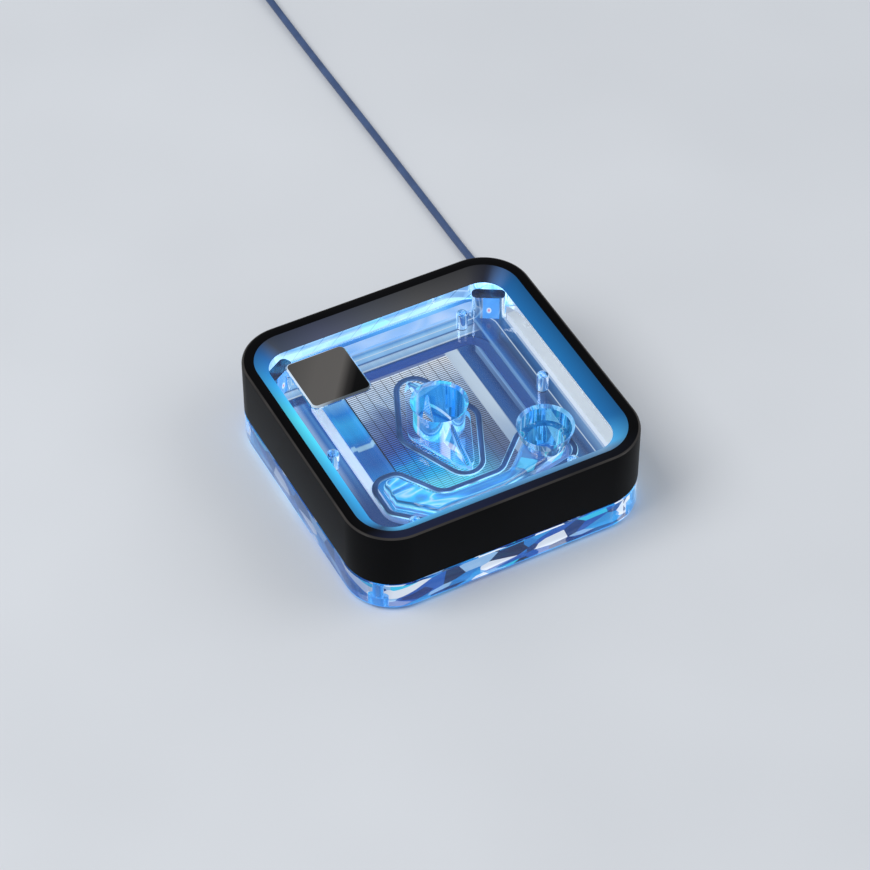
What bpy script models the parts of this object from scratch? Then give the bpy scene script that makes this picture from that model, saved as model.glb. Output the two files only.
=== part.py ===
# CPU water block with a clear acrylic body, a square metal top frame and a finned cold plate.
# +Z is up, -Y is the front. The origin is at the centre of the cold plate's contact face.

import math

import bmesh
import bpy
from mathutils import Matrix, Vector

MM = 0.001
MERGE = 0.0001

# Fits
GAP = 0.3 * MM                # between pieces that touch
GROOVE_PLAY = 0.3 * MM        # each side of a gasket in its groove

# Footprint and heights
BODY_HALF = 36.0 * MM         # half of the square footprint
BODY_CORNER = 11.5 * MM       # outer corner radius
PLATE_THICKNESS = 4.9 * MM
BODY_LIFT = 0.5 * MM          # the clear body stays clear of what the cold plate sits on
FLANGE_TOP = 8.1 * MM         # top of the clear flange that carries the frame
FRAME_TOP = 23.0 * MM

# Top frame
FRAME_WALL = 2.6 * MM
FRAME_WALL_CORNER = 14.0 * MM  # inner corner radius of the wall, larger for the screws
RING_WIDTH = 2.6 * MM         # flat ring on top
RING_CORNER = 9.1 * MM
CHAMFER_RUN = 3.4 * MM
CHAMFER_DROP = 2.5 * MM
LIP_EDGE = 0.2 * MM
LIP_CORNER = 5.75 * MM
EDGE_BREAK = 0.45 * MM        # small bevel on the outer top edge

# Cold plate
PLATE_MARGIN = 6.2 * MM       # from the body's side to the plate's side
PLATE_CORNER = 5.0 * MM
FIN_PITCH = 1.0 * MM
FIN_THICKNESS = 0.45 * MM
FIN_DEPTH = 2.9 * MM
FIN_SIDE_MARGIN = 5.7 * MM    # from the seal to the finned field, along X
FIN_END_MARGIN = 0.7 * MM     # from the seal to the ends of the finned field, along Y
TROUGH_STEP = 0.3 * MM        # between the fins and the collecting troughs beside them
TROUGH_MARGIN = 1.1 * MM      # from the troughs to the seal
TROUGH_DEPTH = 1.6 * MM

# Ports
PORT_CORE_RADIUS = 5.9 * MM
PORT_MOUTH_RADIUS = 6.6 * MM
PORT_MOUTH_DEPTH = 0.7 * MM
PORT_DEPTH = 4.5 * MM
PORT_PASSAGE_RADIUS = 4.2 * MM
PORT_MARGIN = 12.5 * MM       # from the frame's window to the outlet port's axis, in X and in Y

# Gaskets in the underside of the clear body
CORD_RADIUS = 0.7 * MM
DIAMOND_HALF_X = 9.95 * MM    # to the diamond's sharp side corners, before rounding
DIAMOND_SIDE_RADIUS = 4.7 * MM
DIAMOND_TIP_RADIUS = 4.1 * MM
DIAMOND_TIP_MARGIN = 3.7 * MM  # from the end of the fins to the diamond's rounded tip
PLENUM_WALL = 0.9 * MM        # between a groove and the space that it seals
TENT_TOP = 16.5 * MM          # where the ridges over the fins run out into the inlet bore
TENT_SHRINK = 0.4             # size of the diamond up there against its size at the fins
COLLECTOR_ROOF = 10.0 * MM
LOOP_STEP = 2.3 * MM          # between the centre lines of the two gaskets at the diamond's tip
LOOP_LEFT_MARGIN = 7.7 * MM   # from the plate's sides to the outlet loop
LOOP_RIGHT_MARGIN = 5.9 * MM
LOOP_FRONT_MARGIN = 3.4 * MM
LOBE_LENGTH = 10.0 * MM       # how far the left lobe reaches back beside the diamond
LOBE_WIDTH = 6.9 * MM

# Flat seal round the fins, in the face of the cold plate
SEAL_MARGIN = 1.95 * MM       # from the screw holes to the seal's outer edge
SEAL_WIDTH = 2.3 * MM
SEAL_CORNER = 5.5 * MM
SEAL_THICKNESS = 1.1 * MM

# Plate screws, three on each side
PLATE_SCREW_RADIUS = 1.05 * MM
PLATE_HEAD_RADIUS = 2.1 * MM
PLATE_HEAD_HEIGHT = 1.6 * MM
PLATE_HEAD_SINK = 0.3 * MM
PLATE_SCREW_END = 8.5 * MM
PLATE_HOLE_END = 13.6 * MM    # the blind holes are deeper than the screws are long
SIDE_SCREW_MARGIN = 3.2 * MM  # from the plate's edge to the middle screw on each side
END_SCREW_MARGIN_X = 10.0 * MM
END_SCREW_MARGIN_Y = 3.5 * MM
DOME_HEIGHT = 0.9 * MM        # domed end of a blind hole

# Frame screws
FRAME_SCREW_MARGIN = 5.1 * MM  # from the body's sides
FRAME_SCREW_RADIUS = 0.85 * MM
FRAME_HEAD_RADIUS = 1.8 * MM
FRAME_HEAD_HEIGHT = 2.0 * MM
FRAME_HEAD_SINK = 0.5 * MM
FRAME_SCREW_REACH = 5.5 * MM  # length of thread inside the frame

# Badge plate
BADGE_MARGIN_X = 11.4 * MM    # from the frame's window to the badge's middle
BADGE_MARGIN_Y = 11.6 * MM
BADGE_WIDTH = 14.5 * MM
BADGE_LENGTH = 15.0 * MM
BADGE_CORNER = 1.3 * MM
BADGE_THICKNESS = 0.8 * MM
BADGE_PROUD = 0.4 * MM        # how far it stands above the clear top

# Lighting slot along +X
SLOT_MARGIN = 3.05 * MM       # from the body's side to the slot's centre line
SLOT_END_MARGIN = 10.5 * MM
SLOT_WIDTH = 3.3 * MM
SLOT_ROOF = 4.4 * MM
COVER_THICKNESS = 0.6 * MM
BOARD_THICKNESS = 0.6 * MM
BOARD_BACK_SPACE = 9.0 * MM   # free slot behind the board for the cable
LED_COUNT = 6
LED_SIZE = 2.2 * MM

# Corner lights, in pockets over the plate's back corners
CORNER_LED_SIZE = 3.5 * MM
CORNER_LED_HEIGHT = 1.4 * MM
CORNER_LED_MARGIN_X = 8.0 * MM   # from the body's sides to the light's middle
CORNER_LED_MARGIN_Y = 8.6 * MM
CORNER_LED_TURN = 30.0        # degrees, each towards the middle of the block
POCKET_CORNER = 1.2 * MM

# Cable
CABLE_RADIUS = 0.9 * MM
CABLE_EXIT_MARGIN = 5.5 * MM  # from the slot's back end
CABLE_EXIT_Z = 2.9 * MM
GROMMET_WALL = 0.4 * MM
GROMMET_FLANGE_RADIUS = 2.3 * MM
GROMMET_FLANGE = 0.8 * MM
CABLE_LINE_X = 38.2 * MM      # where the cable lies on the surface
CABLE_CLEAR = 0.1 * MM        # between the cable and the surface it lies on
CABLE_STEP = 4.2 * MM         # between the points of the cable's line
COIL_SEGMENTS = 32
COIL_MEAN_RADIUS = 10.0 * MM
COIL_TURNS_ACROSS = 3
COIL_LAYERS = 2
COIL_Y = 189.0 * MM
TIE_THICKNESS = 0.4 * MM
TIE_WIDTH = 2.5 * MM
TAIL_LENGTH = 4.5 * MM
PLUG_LENGTH = 9.0 * MM
PLUG_WIDTH = 7.0 * MM
PLUG_HEIGHT = 3.0 * MM
PLUG_EDGE = 0.4 * MM

# Values that follow from the ones above
BODY_TOP = FRAME_TOP - CHAMFER_DROP - LIP_EDGE - GAP
WALL_INNER = BODY_HALF - FRAME_WALL
RING_INNER = BODY_HALF - RING_WIDTH
LIP_HALF = RING_INNER - CHAMFER_RUN
RECESS_ROOF = PLATE_THICKNESS + GAP
GROOVE_HALF = CORD_RADIUS + GROOVE_PLAY
GROOVE_ROOF = RECESS_ROOF + 2 * CORD_RADIUS + GAP
CORD_Z = RECESS_ROOF + CORD_RADIUS
PORT_FLOOR = BODY_TOP - PORT_DEPTH
PORT_AT = LIP_HALF - PORT_MARGIN
PORT_2 = (PORT_AT, -PORT_AT)
PLATE_HALF = BODY_HALF - PLATE_MARGIN
SIDE_SCREW_X = PLATE_HALF - SIDE_SCREW_MARGIN
END_SCREW_X = PLATE_HALF - END_SCREW_MARGIN_X
END_SCREW_Y = PLATE_HALF - END_SCREW_MARGIN_Y
FRAME_SCREW_AT = BODY_HALF - FRAME_SCREW_MARGIN
SEAL_OUTER = END_SCREW_Y - PLATE_SCREW_RADIUS - GAP - SEAL_MARGIN
SEAL_INNER = SEAL_OUTER - SEAL_WIDTH
FIN_FIELD_X = SEAL_INNER - FIN_SIDE_MARGIN   # half size of the finned field
FIN_FIELD_Y = SEAL_INNER - FIN_END_MARGIN
TROUGH_START = FIN_FIELD_X + TROUGH_STEP
TROUGH_END = SEAL_INNER - TROUGH_MARGIN
DIAMOND_TIP = FIN_FIELD_Y - DIAMOND_TIP_MARGIN
BADGE_AT = (BADGE_MARGIN_X - LIP_HALF, LIP_HALF - BADGE_MARGIN_Y)
SLOT_X = BODY_HALF - SLOT_MARGIN
SLOT_HALF_LENGTH = BODY_HALF - SLOT_END_MARGIN
CABLE_EXIT_Y = SLOT_HALF_LENGTH - CABLE_EXIT_MARGIN
CUT_PAST = 1.0 * MM           # how far a cutter reaches past the face it cuts

# The outlet loop's sharp corners, each with its fillet: left lobe, dip under the diamond, port lobe
LOOP_LEFT = LOOP_LEFT_MARGIN - PLATE_HALF
LOOP_RIGHT = PLATE_HALF - LOOP_RIGHT_MARGIN
LOOP_FRONT = LOOP_FRONT_MARGIN - PLATE_HALF
LOOP_DIP = -DIAMOND_TIP - LOOP_STEP
LOBE_END = LOOP_DIP + LOBE_LENGTH
OUTLET_CORNERS = [
    ((LOOP_LEFT, LOBE_END), 3.8 * MM),
    ((LOOP_LEFT, LOOP_DIP - 0.1 * MM), 2.5 * MM),
    ((LOOP_LEFT + 8.5 * MM, LOOP_FRONT), 3.5 * MM),
    ((PORT_AT - 13.5 * MM, LOOP_FRONT), 4.0 * MM),
    ((LOOP_RIGHT, -PORT_AT - 4.7 * MM), 4.0 * MM),
    ((LOOP_RIGHT, LOOP_DIP + 8.7 * MM), 4.5 * MM),
    ((PORT_AT - 2.9 * MM, LOOP_DIP + 8.2 * MM), 4.0 * MM),
    ((PORT_AT - 11.5 * MM, LOOP_DIP), 4.0 * MM),
    ((LOOP_LEFT + 13.2 * MM, LOOP_DIP), 4.0 * MM),
    ((LOOP_LEFT + LOBE_WIDTH, LOBE_END), 3.2 * MM),
]


def clear_scene():
    for obj in list(bpy.data.objects):
        bpy.data.objects.remove(obj, do_unlink=True)


def make_material(name, color, roughness, metallic=0.0, alpha=1.0, glow=0.0):
    material = bpy.data.materials.new(name)
    material.use_nodes = True
    shader = material.node_tree.nodes["Principled BSDF"]
    shader.inputs["Base Color"].default_value = (*color, 1.0)
    shader.inputs["Roughness"].default_value = roughness
    shader.inputs["Metallic"].default_value = metallic
    shader.inputs["Alpha"].default_value = alpha
    if glow:
        shader.inputs["Emission Color"].default_value = (*color, 1.0)
        shader.inputs["Emission Strength"].default_value = glow
    return material


def add_object(name, bm, material):
    """Turn a bmesh into an object whose faces point outwards."""
    bmesh.ops.remove_doubles(bm, verts=bm.verts, dist=MERGE * MM)
    bmesh.ops.recalc_face_normals(bm, faces=bm.faces)
    if bm.calc_volume(signed=True) < 0:
        bmesh.ops.reverse_faces(bm, faces=bm.faces)
    mesh = bpy.data.meshes.new(name)
    bm.to_mesh(mesh)
    bm.free()
    if material:
        mesh.materials.append(material)
    mesh.shade_smooth()
    mesh.set_sharp_from_angle(angle=math.radians(30))
    obj = bpy.data.objects.new(name, mesh)
    bpy.context.scene.collection.objects.link(obj)
    return obj


def filleted_outline(corners, steps, offset=0.0):
    """Points of a closed outline, anticlockwise, with each corner rounded.

    A positive offset moves the outline outwards and keeps the number of points.
    """
    count = len(corners)
    points = []
    for index in range(count):
        before = Vector(corners[index - 1][0])
        here = Vector(corners[index][0])
        after = Vector(corners[(index + 1) % count][0])
        radius = corners[index][1]
        inward = (here - before).normalized()
        outward = (after - here).normalized()
        turn = inward.angle_signed(outward)
        # angle_signed is positive for a clockwise turn
        convex = turn < 0
        half_angle = abs(turn) / 2
        normal_in = Vector((inward.y, -inward.x))
        normal_out = Vector((outward.y, -outward.x))
        bisector = (normal_in + normal_out).normalized()
        side = -1 if convex else 1
        centre = here + bisector * side * radius / math.cos(half_angle)
        arc_radius = radius - side * offset
        start = (normal_in * -side)
        for step in range(steps + 1):
            angle = turn * step / steps
            direction = Matrix.Rotation(-angle, 2) @ start
            points.append(centre + direction * arc_radius)
    return points


def square_corners(half_x, half_y, radius):
    signs = ((-1, -1), (1, -1), (1, 1), (-1, 1))
    return [((sx * half_x, sy * half_y), radius) for sx, sy in signs]


def add_loop(bm, points, z, centre=(0.0, 0.0)):
    return [bm.verts.new((p[0] + centre[0], p[1] + centre[1], z)) for p in points]


def bridge(bm, lower, upper):
    count = len(lower)
    for index in range(count):
        following = (index + 1) % count
        bm.faces.new((lower[index], lower[following], upper[following], upper[index]))


def stack(name, layers, material=None, centre=(0.0, 0.0)):
    """A solid through a stack of outlines, each given as (points, z), closed at both ends."""
    bm = bmesh.new()
    loops = [add_loop(bm, points, z, centre) for points, z in layers]
    for lower, upper in zip(loops, loops[1:]):
        bridge(bm, lower, upper)
    bm.faces.new(loops[0])
    bm.faces.new(loops[-1])
    return add_object(name, bm, material)


def loop_solid(name, layers, material=None):
    """A closed ring whose section runs through the given outlines and back to the first."""
    bm = bmesh.new()
    loops = [add_loop(bm, points, z) for points, z in layers]
    for lower, upper in zip(loops, loops[1:] + loops[:1]):
        bridge(bm, lower, upper)
    return add_object(name, bm, material)


def turned(name, profile, material=None, centre=(0.0, 0.0), segments=24):
    """A turned solid. The profile is (radius, z) from the bottom up, open at the axis."""
    layers = []
    for radius, z in profile:
        ring = [(radius * math.cos(2 * math.pi * i / segments),
                 radius * math.sin(2 * math.pi * i / segments)) for i in range(segments)]
        layers.append((ring, z))
    return stack(name, layers, material, centre)


def box(name, low, high, material=None):
    bm = bmesh.new()
    bmesh.ops.create_cube(bm, size=1.0)
    size = Vector(high) - Vector(low)
    middle = (Vector(high) + Vector(low)) / 2
    bmesh.ops.scale(bm, vec=size, verts=bm.verts)
    bmesh.ops.translate(bm, vec=middle, verts=bm.verts)
    return add_object(name, bm, material)


def along_x(obj, x, y, z):
    """Lay a piece that was turned about +Z down along +X and put its start at a point."""
    turn = Matrix.Rotation(math.radians(90), 4, "Y")
    obj.data.transform(Matrix.Translation((x, y, z)) @ turn)
    return obj


def cut(target, cutter):
    cutter.hide_render = True
    cutter.display_type = "WIRE"
    modifier = target.modifiers.new("cut " + cutter.name, "BOOLEAN")
    modifier.operation = "DIFFERENCE"
    modifier.solver = "EXACT"
    modifier.object = cutter


def dome(radius, top, height):
    """End of a drilled blind hole: points of a profile from its wall up to its tip."""
    return [(radius * math.cos(a), top - height + height * math.sin(a))
            for a in (0.0, math.radians(35), math.radians(65), math.radians(86))]


clear_scene()

BLACK_SATIN = make_material("black_satin", (0.012, 0.012, 0.014), 0.38, 0.6)
CLEAR_ACRYLIC = make_material("clear_acrylic", (0.75, 0.88, 0.95), 0.03, 0.0, 0.35)
NICKEL = make_material("nickel_plate", (0.62, 0.60, 0.66), 0.22, 1.0)
CORD_RUBBER = make_material("gasket_rubber", (0.25, 0.33, 0.45), 0.45)
PALE_SILICONE = make_material("pale_silicone", (0.70, 0.74, 0.80), 0.50)
SCREW_STEEL = make_material("screw_steel", (0.55, 0.56, 0.58), 0.28, 1.0)
BADGE_BLACK = make_material("badge_black", (0.010, 0.010, 0.012), 0.12)
BOARD_WHITE = make_material("board_white", (0.78, 0.80, 0.80), 0.45)
LED_LIGHT = make_material("led_light", (0.45, 0.75, 1.0), 0.30, 0.0, 1.0, 4.0)
COVER_WHITE = make_material("cover_white", (0.75, 0.78, 0.80), 0.60)
CABLE_GREY = make_material("cable_grey", (0.28, 0.36, 0.48), 0.45)
GROMMET_GREY = make_material("grommet_grey", (0.10, 0.11, 0.12), 0.55)
PLUG_WHITE = make_material("plug_white", (0.72, 0.73, 0.72), 0.40)
TIE_BLACK = make_material("tie_black", (0.02, 0.02, 0.02), 0.50)

# Outlines shared by pieces that fit each other
OUTER = square_corners(BODY_HALF, BODY_HALF, BODY_CORNER)
WALL = square_corners(WALL_INNER, WALL_INNER, FRAME_WALL_CORNER)
RING = square_corners(RING_INNER, RING_INNER, RING_CORNER)
LIP = square_corners(LIP_HALF, LIP_HALF, LIP_CORNER)
PLATE = square_corners(PLATE_HALF, PLATE_HALF, PLATE_CORNER)
BADGE = square_corners(BADGE_WIDTH / 2, BADGE_LENGTH / 2, BADGE_CORNER)
SEAL = square_corners(SEAL_OUTER, SEAL_OUTER, SEAL_CORNER)


def sharp_tip(rounded_tip, half_width, radius):
    """Where a diamond's sharp tip lies so that its rounded tip ends at a given distance."""
    sharp = rounded_tip
    for _ in range(30):
        half_angle = math.atan2(half_width, sharp)
        sharp = rounded_tip + radius * (1 / math.sin(half_angle) - 1)
    return sharp


DIAMOND_HALF_Y = sharp_tip(DIAMOND_TIP, DIAMOND_HALF_X, DIAMOND_TIP_RADIUS)
DIAMOND = [
    ((0.0, -DIAMOND_HALF_Y), DIAMOND_TIP_RADIUS),
    ((DIAMOND_HALF_X, 0.0), DIAMOND_SIDE_RADIUS),
    ((0.0, DIAMOND_HALF_Y), DIAMOND_TIP_RADIUS),
    ((-DIAMOND_HALF_X, 0.0), DIAMOND_SIDE_RADIUS),
]
OUTER_STEPS = 8
INNER_STEPS = 6
CORD_STEPS = 4

PLATE_SCREWS = [(sx * SIDE_SCREW_X, 0.0) for sx in (-1, 1)]
PLATE_SCREWS += [(sx * END_SCREW_X, sy * END_SCREW_Y) for sy in (-1, 1) for sx in (-1, 1)]
FRAME_SCREWS = [(sx * FRAME_SCREW_AT, sy * FRAME_SCREW_AT) for sy in (-1, 1) for sx in (-1, 1)]

# Top frame: one closed section carried round the square
frame_bottom = FLANGE_TOP + GAP
lip_top = FRAME_TOP - CHAMFER_DROP
lip_bottom = lip_top - LIP_EDGE
top_frame = loop_solid("top_frame", [
    (filleted_outline(OUTER, OUTER_STEPS), frame_bottom),
    (filleted_outline(OUTER, OUTER_STEPS), FRAME_TOP - EDGE_BREAK),
    (filleted_outline(OUTER, OUTER_STEPS, -EDGE_BREAK), FRAME_TOP),
    (filleted_outline(RING, OUTER_STEPS), FRAME_TOP),
    (filleted_outline(LIP, OUTER_STEPS), lip_top),
    (filleted_outline(LIP, OUTER_STEPS), lip_bottom),
    (filleted_outline(WALL, OUTER_STEPS), lip_bottom),
    (filleted_outline(WALL, OUTER_STEPS), frame_bottom),
], BLACK_SATIN)
for number, place in enumerate(FRAME_SCREWS, start=1):
    hole_radius = FRAME_SCREW_RADIUS + GAP
    hole_end = frame_bottom + FRAME_SCREW_REACH + GAP
    cut(top_frame, turned(f"frame_thread_{number}", [
        (hole_radius, frame_bottom - CUT_PAST), (hole_radius, hole_end)], None, place, 12))

# Clear body: flange and upper block, then everything that is milled into it
clear_top = stack("clear_top", [
    (filleted_outline(OUTER, OUTER_STEPS), BODY_LIFT),
    (filleted_outline(OUTER, OUTER_STEPS), FLANGE_TOP),
    (filleted_outline(WALL, OUTER_STEPS, -GAP), FLANGE_TOP),
    (filleted_outline(WALL, OUTER_STEPS, -GAP), BODY_TOP),
], CLEAR_ACRYLIC)
cut(clear_top, stack("plate_recess", [
    (filleted_outline(PLATE, INNER_STEPS, GAP), BODY_LIFT - CUT_PAST),
    (filleted_outline(PLATE, INNER_STEPS, GAP), RECESS_ROOF)]))
cut(clear_top, stack("badge_recess", [
    (filleted_outline(BADGE, INNER_STEPS, GAP), BODY_TOP - BADGE_THICKNESS + BADGE_PROUD - GAP),
    (filleted_outline(BADGE, INNER_STEPS, GAP), BODY_TOP + CUT_PAST)], None, BADGE_AT))
for name, corners in (("inlet_groove", DIAMOND), ("outlet_groove", OUTLET_CORNERS)):
    cut(clear_top, loop_solid(name, [
        (filleted_outline(corners, CORD_STEPS, GROOVE_HALF), RECESS_ROOF - CUT_PAST),
        (filleted_outline(corners, CORD_STEPS, GROOVE_HALF), GROOVE_ROOF),
        (filleted_outline(corners, CORD_STEPS, -GROOVE_HALF), GROOVE_ROOF),
        (filleted_outline(corners, CORD_STEPS, -GROOVE_HALF), RECESS_ROOF - CUT_PAST)]))

# The inlet bore runs straight down to the fins, and a tent over them spreads the flow to both tips
plenum_inset = GROOVE_HALF + PLENUM_WALL
diamond_floor = filleted_outline(DIAMOND, CORD_STEPS, -plenum_inset)
tent_top = [TENT_SHRINK * p for p in diamond_floor]
cut(clear_top, stack("inlet_tent", [
    (diamond_floor, RECESS_ROOF - CUT_PAST),
    (diamond_floor, RECESS_ROOF + PLENUM_WALL),
    (tent_top, TENT_TOP)]))
cut(clear_top, stack("collector", [
    (filleted_outline(OUTLET_CORNERS, CORD_STEPS, -plenum_inset), RECESS_ROOF - CUT_PAST),
    (filleted_outline(OUTLET_CORNERS, CORD_STEPS, -plenum_inset), COLLECTOR_ROOF)]))
cut(clear_top, turned("outlet_passage", [
    (PORT_PASSAGE_RADIUS, COLLECTOR_ROOF - CUT_PAST),
    (PORT_PASSAGE_RADIUS, PORT_FLOOR + CUT_PAST)], None, PORT_2, 24))
for name, place, floor in (("inlet_port", (0.0, 0.0), RECESS_ROOF - CUT_PAST),
                           ("outlet_port", PORT_2, PORT_FLOOR)):
    cut(clear_top, turned(name, [
        (PORT_CORE_RADIUS, floor),
        (PORT_CORE_RADIUS, BODY_TOP - PORT_MOUTH_DEPTH),
        (PORT_MOUTH_RADIUS, BODY_TOP),
        (PORT_MOUTH_RADIUS, BODY_TOP + CUT_PAST)], None, place, 32))

# Blind holes for the plate screws, with domed ends
for number, place in enumerate(PLATE_SCREWS, start=1):
    radius = PLATE_SCREW_RADIUS + GAP
    profile = [(radius, RECESS_ROOF - CUT_PAST)]
    profile += dome(radius, PLATE_HOLE_END, DOME_HEIGHT)
    cut(clear_top, turned(f"plate_thread_{number}", profile, None, place, 12))
for number, place in enumerate(FRAME_SCREWS, start=1):
    head_top = BODY_LIFT + FRAME_HEAD_SINK + FRAME_HEAD_HEIGHT + GAP
    cut(clear_top, turned(f"frame_counterbore_{number}", [
        (FRAME_HEAD_RADIUS + GAP, BODY_LIFT - CUT_PAST),
        (FRAME_HEAD_RADIUS + GAP, head_top),
        (FRAME_SCREW_RADIUS + GAP, head_top),
        (FRAME_SCREW_RADIUS + GAP, FLANGE_TOP + CUT_PAST)], None, place, 12))

# Pockets for the corner lights, open to the plate's recess
pocket_half = CORNER_LED_SIZE / 2 + GAP
pocket_roof = RECESS_ROOF + CORNER_LED_HEIGHT + GAP
CORNER_LEDS = [(side * (BODY_HALF - CORNER_LED_MARGIN_X), BODY_HALF - CORNER_LED_MARGIN_Y, side * CORNER_LED_TURN)
               for side in (1, -1)]


def turned_square(half, radius, degrees):
    turn = Matrix.Rotation(math.radians(degrees), 2)
    return [turn @ p for p in filleted_outline(square_corners(half, half, radius), 3)]


for number, (x, y, degrees) in enumerate(CORNER_LEDS, start=1):
    pocket = turned_square(pocket_half, POCKET_CORNER, degrees)
    cut(clear_top, stack(f"corner_pocket_{number}", [
        (pocket, RECESS_ROOF - CUT_PAST), (pocket, pocket_roof)], None, (x, y)))

# Lighting slot and the hole for the cable grommet
slot_left = SLOT_X - SLOT_WIDTH / 2
slot_right = SLOT_X + SLOT_WIDTH / 2
cut(clear_top, box("lighting_slot", (slot_left, -SLOT_HALF_LENGTH, BODY_LIFT - CUT_PAST),
                   (slot_right, SLOT_HALF_LENGTH, SLOT_ROOF)))
sleeve_radius = CABLE_RADIUS + GAP + GROMMET_WALL
cut(clear_top, along_x(turned("cable_hole", [
    (sleeve_radius + GAP, 0.0), (sleeve_radius + GAP, BODY_HALF - SLOT_X + CUT_PAST)], None, (0.0, 0.0), 16),
    SLOT_X, CABLE_EXIT_Y, CABLE_EXIT_Z))

# Cold plate: fins cut from the solid, troughs beside them
cold_plate = stack("cold_plate", [
    (filleted_outline(PLATE, INNER_STEPS), 0.0),
    (filleted_outline(PLATE, INNER_STEPS), PLATE_THICKNESS)], NICKEL)
slit_count = int(2 * FIN_FIELD_Y / FIN_PITCH)
slit_width = FIN_PITCH - FIN_THICKNESS
slits = bmesh.new()
for index in range(slit_count):
    middle_y = (index - (slit_count - 1) / 2) * FIN_PITCH
    made = bmesh.ops.create_cube(slits, size=1.0)["verts"]
    bmesh.ops.scale(slits, verts=made, vec=(2 * FIN_FIELD_X, slit_width, FIN_DEPTH + CUT_PAST))
    bmesh.ops.translate(slits, verts=made, vec=(
        0.0, middle_y, PLATE_THICKNESS - FIN_DEPTH + (FIN_DEPTH + CUT_PAST) / 2))
cut(cold_plate, add_object("fin_slits", slits, None))
for name, side in (("left_trough", -1), ("right_trough", 1)):
    near = side * TROUGH_START
    far = side * TROUGH_END
    cut(cold_plate, box(name, (min(near, far), -FIN_FIELD_Y, PLATE_THICKNESS - TROUGH_DEPTH),
                        (max(near, far), FIN_FIELD_Y, PLATE_THICKNESS + CUT_PAST)))
cut(cold_plate, loop_solid("seal_groove", [
    (filleted_outline(SEAL, INNER_STEPS, GAP), PLATE_THICKNESS - SEAL_THICKNESS - GAP),
    (filleted_outline(SEAL, INNER_STEPS, GAP), PLATE_THICKNESS + CUT_PAST),
    (filleted_outline(SEAL, INNER_STEPS, -SEAL_WIDTH - GAP), PLATE_THICKNESS + CUT_PAST),
    (filleted_outline(SEAL, INNER_STEPS, -SEAL_WIDTH - GAP), PLATE_THICKNESS - SEAL_THICKNESS - GAP)]))
for number, place in enumerate(PLATE_SCREWS, start=1):
    head_top = PLATE_HEAD_SINK + PLATE_HEAD_HEIGHT + GAP
    cut(cold_plate, turned(f"plate_counterbore_{number}", [
        (PLATE_HEAD_RADIUS + GAP, -CUT_PAST),
        (PLATE_HEAD_RADIUS + GAP, head_top),
        (PLATE_SCREW_RADIUS + GAP, head_top),
        (PLATE_SCREW_RADIUS + GAP, PLATE_THICKNESS + CUT_PAST)], None, place, 12))

# Gaskets and seal
for name, corners in (("inlet_gasket", DIAMOND), ("outlet_gasket", OUTLET_CORNERS)):
    section = [(CORD_RADIUS * math.cos(math.radians(a)), CORD_RADIUS * math.sin(math.radians(a)))
               for a in range(0, 360, 45)]
    loop_solid(name, [(filleted_outline(corners, CORD_STEPS, run), CORD_Z + rise)
                      for run, rise in section], CORD_RUBBER)
loop_solid("perimeter_seal", [
    (filleted_outline(SEAL, INNER_STEPS), PLATE_THICKNESS - SEAL_THICKNESS),
    (filleted_outline(SEAL, INNER_STEPS), PLATE_THICKNESS),
    (filleted_outline(SEAL, INNER_STEPS, -SEAL_WIDTH), PLATE_THICKNESS),
    (filleted_outline(SEAL, INNER_STEPS, -SEAL_WIDTH), PLATE_THICKNESS - SEAL_THICKNESS)], PALE_SILICONE)

# Screws, each with a hexagon socket
def socket_screw(name, place, head_bottom, head_radius, head_height, radius, end):
    screw = turned(name, [
        (head_radius, head_bottom), (head_radius, head_bottom + head_height),
        (radius, head_bottom + head_height), (radius, end)], SCREW_STEEL, place, 12)
    cut(screw, turned(name + "_socket", [
        (head_radius / 2, head_bottom - CUT_PAST),
        (head_radius / 2, head_bottom + head_height * 0.6)], None, place, 6))


for number, place in enumerate(PLATE_SCREWS, start=1):
    socket_screw(f"plate_screw_{number}", place, PLATE_HEAD_SINK, PLATE_HEAD_RADIUS,
                 PLATE_HEAD_HEIGHT, PLATE_SCREW_RADIUS, PLATE_SCREW_END)
for number, place in enumerate(FRAME_SCREWS, start=1):
    socket_screw(f"frame_screw_{number}", place, BODY_LIFT + FRAME_HEAD_SINK, FRAME_HEAD_RADIUS,
                 FRAME_HEAD_HEIGHT, FRAME_SCREW_RADIUS, frame_bottom + FRAME_SCREW_REACH)

# Badge plate, bare
badge_bottom = BODY_TOP - BADGE_THICKNESS + BADGE_PROUD
stack("badge_plate", [
    (filleted_outline(BADGE, INNER_STEPS), badge_bottom),
    (filleted_outline(BADGE, INNER_STEPS), badge_bottom + BADGE_THICKNESS)], BADGE_BLACK, BADGE_AT)

# Lighting: board on the slot's cover, LEDs up against the slot's roof
slot_half = SLOT_WIDTH / 2 - GAP
cover_top = BODY_LIFT + COVER_THICKNESS
board_bottom = cover_top + GAP
board_top = board_bottom + BOARD_THICKNESS
board_end = SLOT_HALF_LENGTH - GAP - BOARD_BACK_SPACE
box("slot_cover", (SLOT_X - slot_half, GAP - SLOT_HALF_LENGTH, BODY_LIFT),
    (SLOT_X + slot_half, SLOT_HALF_LENGTH - GAP, cover_top), COVER_WHITE)
box("led_board", (SLOT_X - slot_half, GAP - SLOT_HALF_LENGTH, board_bottom),
    (SLOT_X + slot_half, board_end, board_top), BOARD_WHITE)
led_step = (board_end + SLOT_HALF_LENGTH - GAP) / LED_COUNT
for index in range(LED_COUNT):
    middle_y = GAP - SLOT_HALF_LENGTH + (index + 0.5) * led_step
    box(f"led_{index + 1}", (SLOT_X - LED_SIZE / 2, middle_y - LED_SIZE / 2, board_top + GAP),
        (SLOT_X + LED_SIZE / 2, middle_y + LED_SIZE / 2, SLOT_ROOF - GAP), LED_LIGHT)

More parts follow.
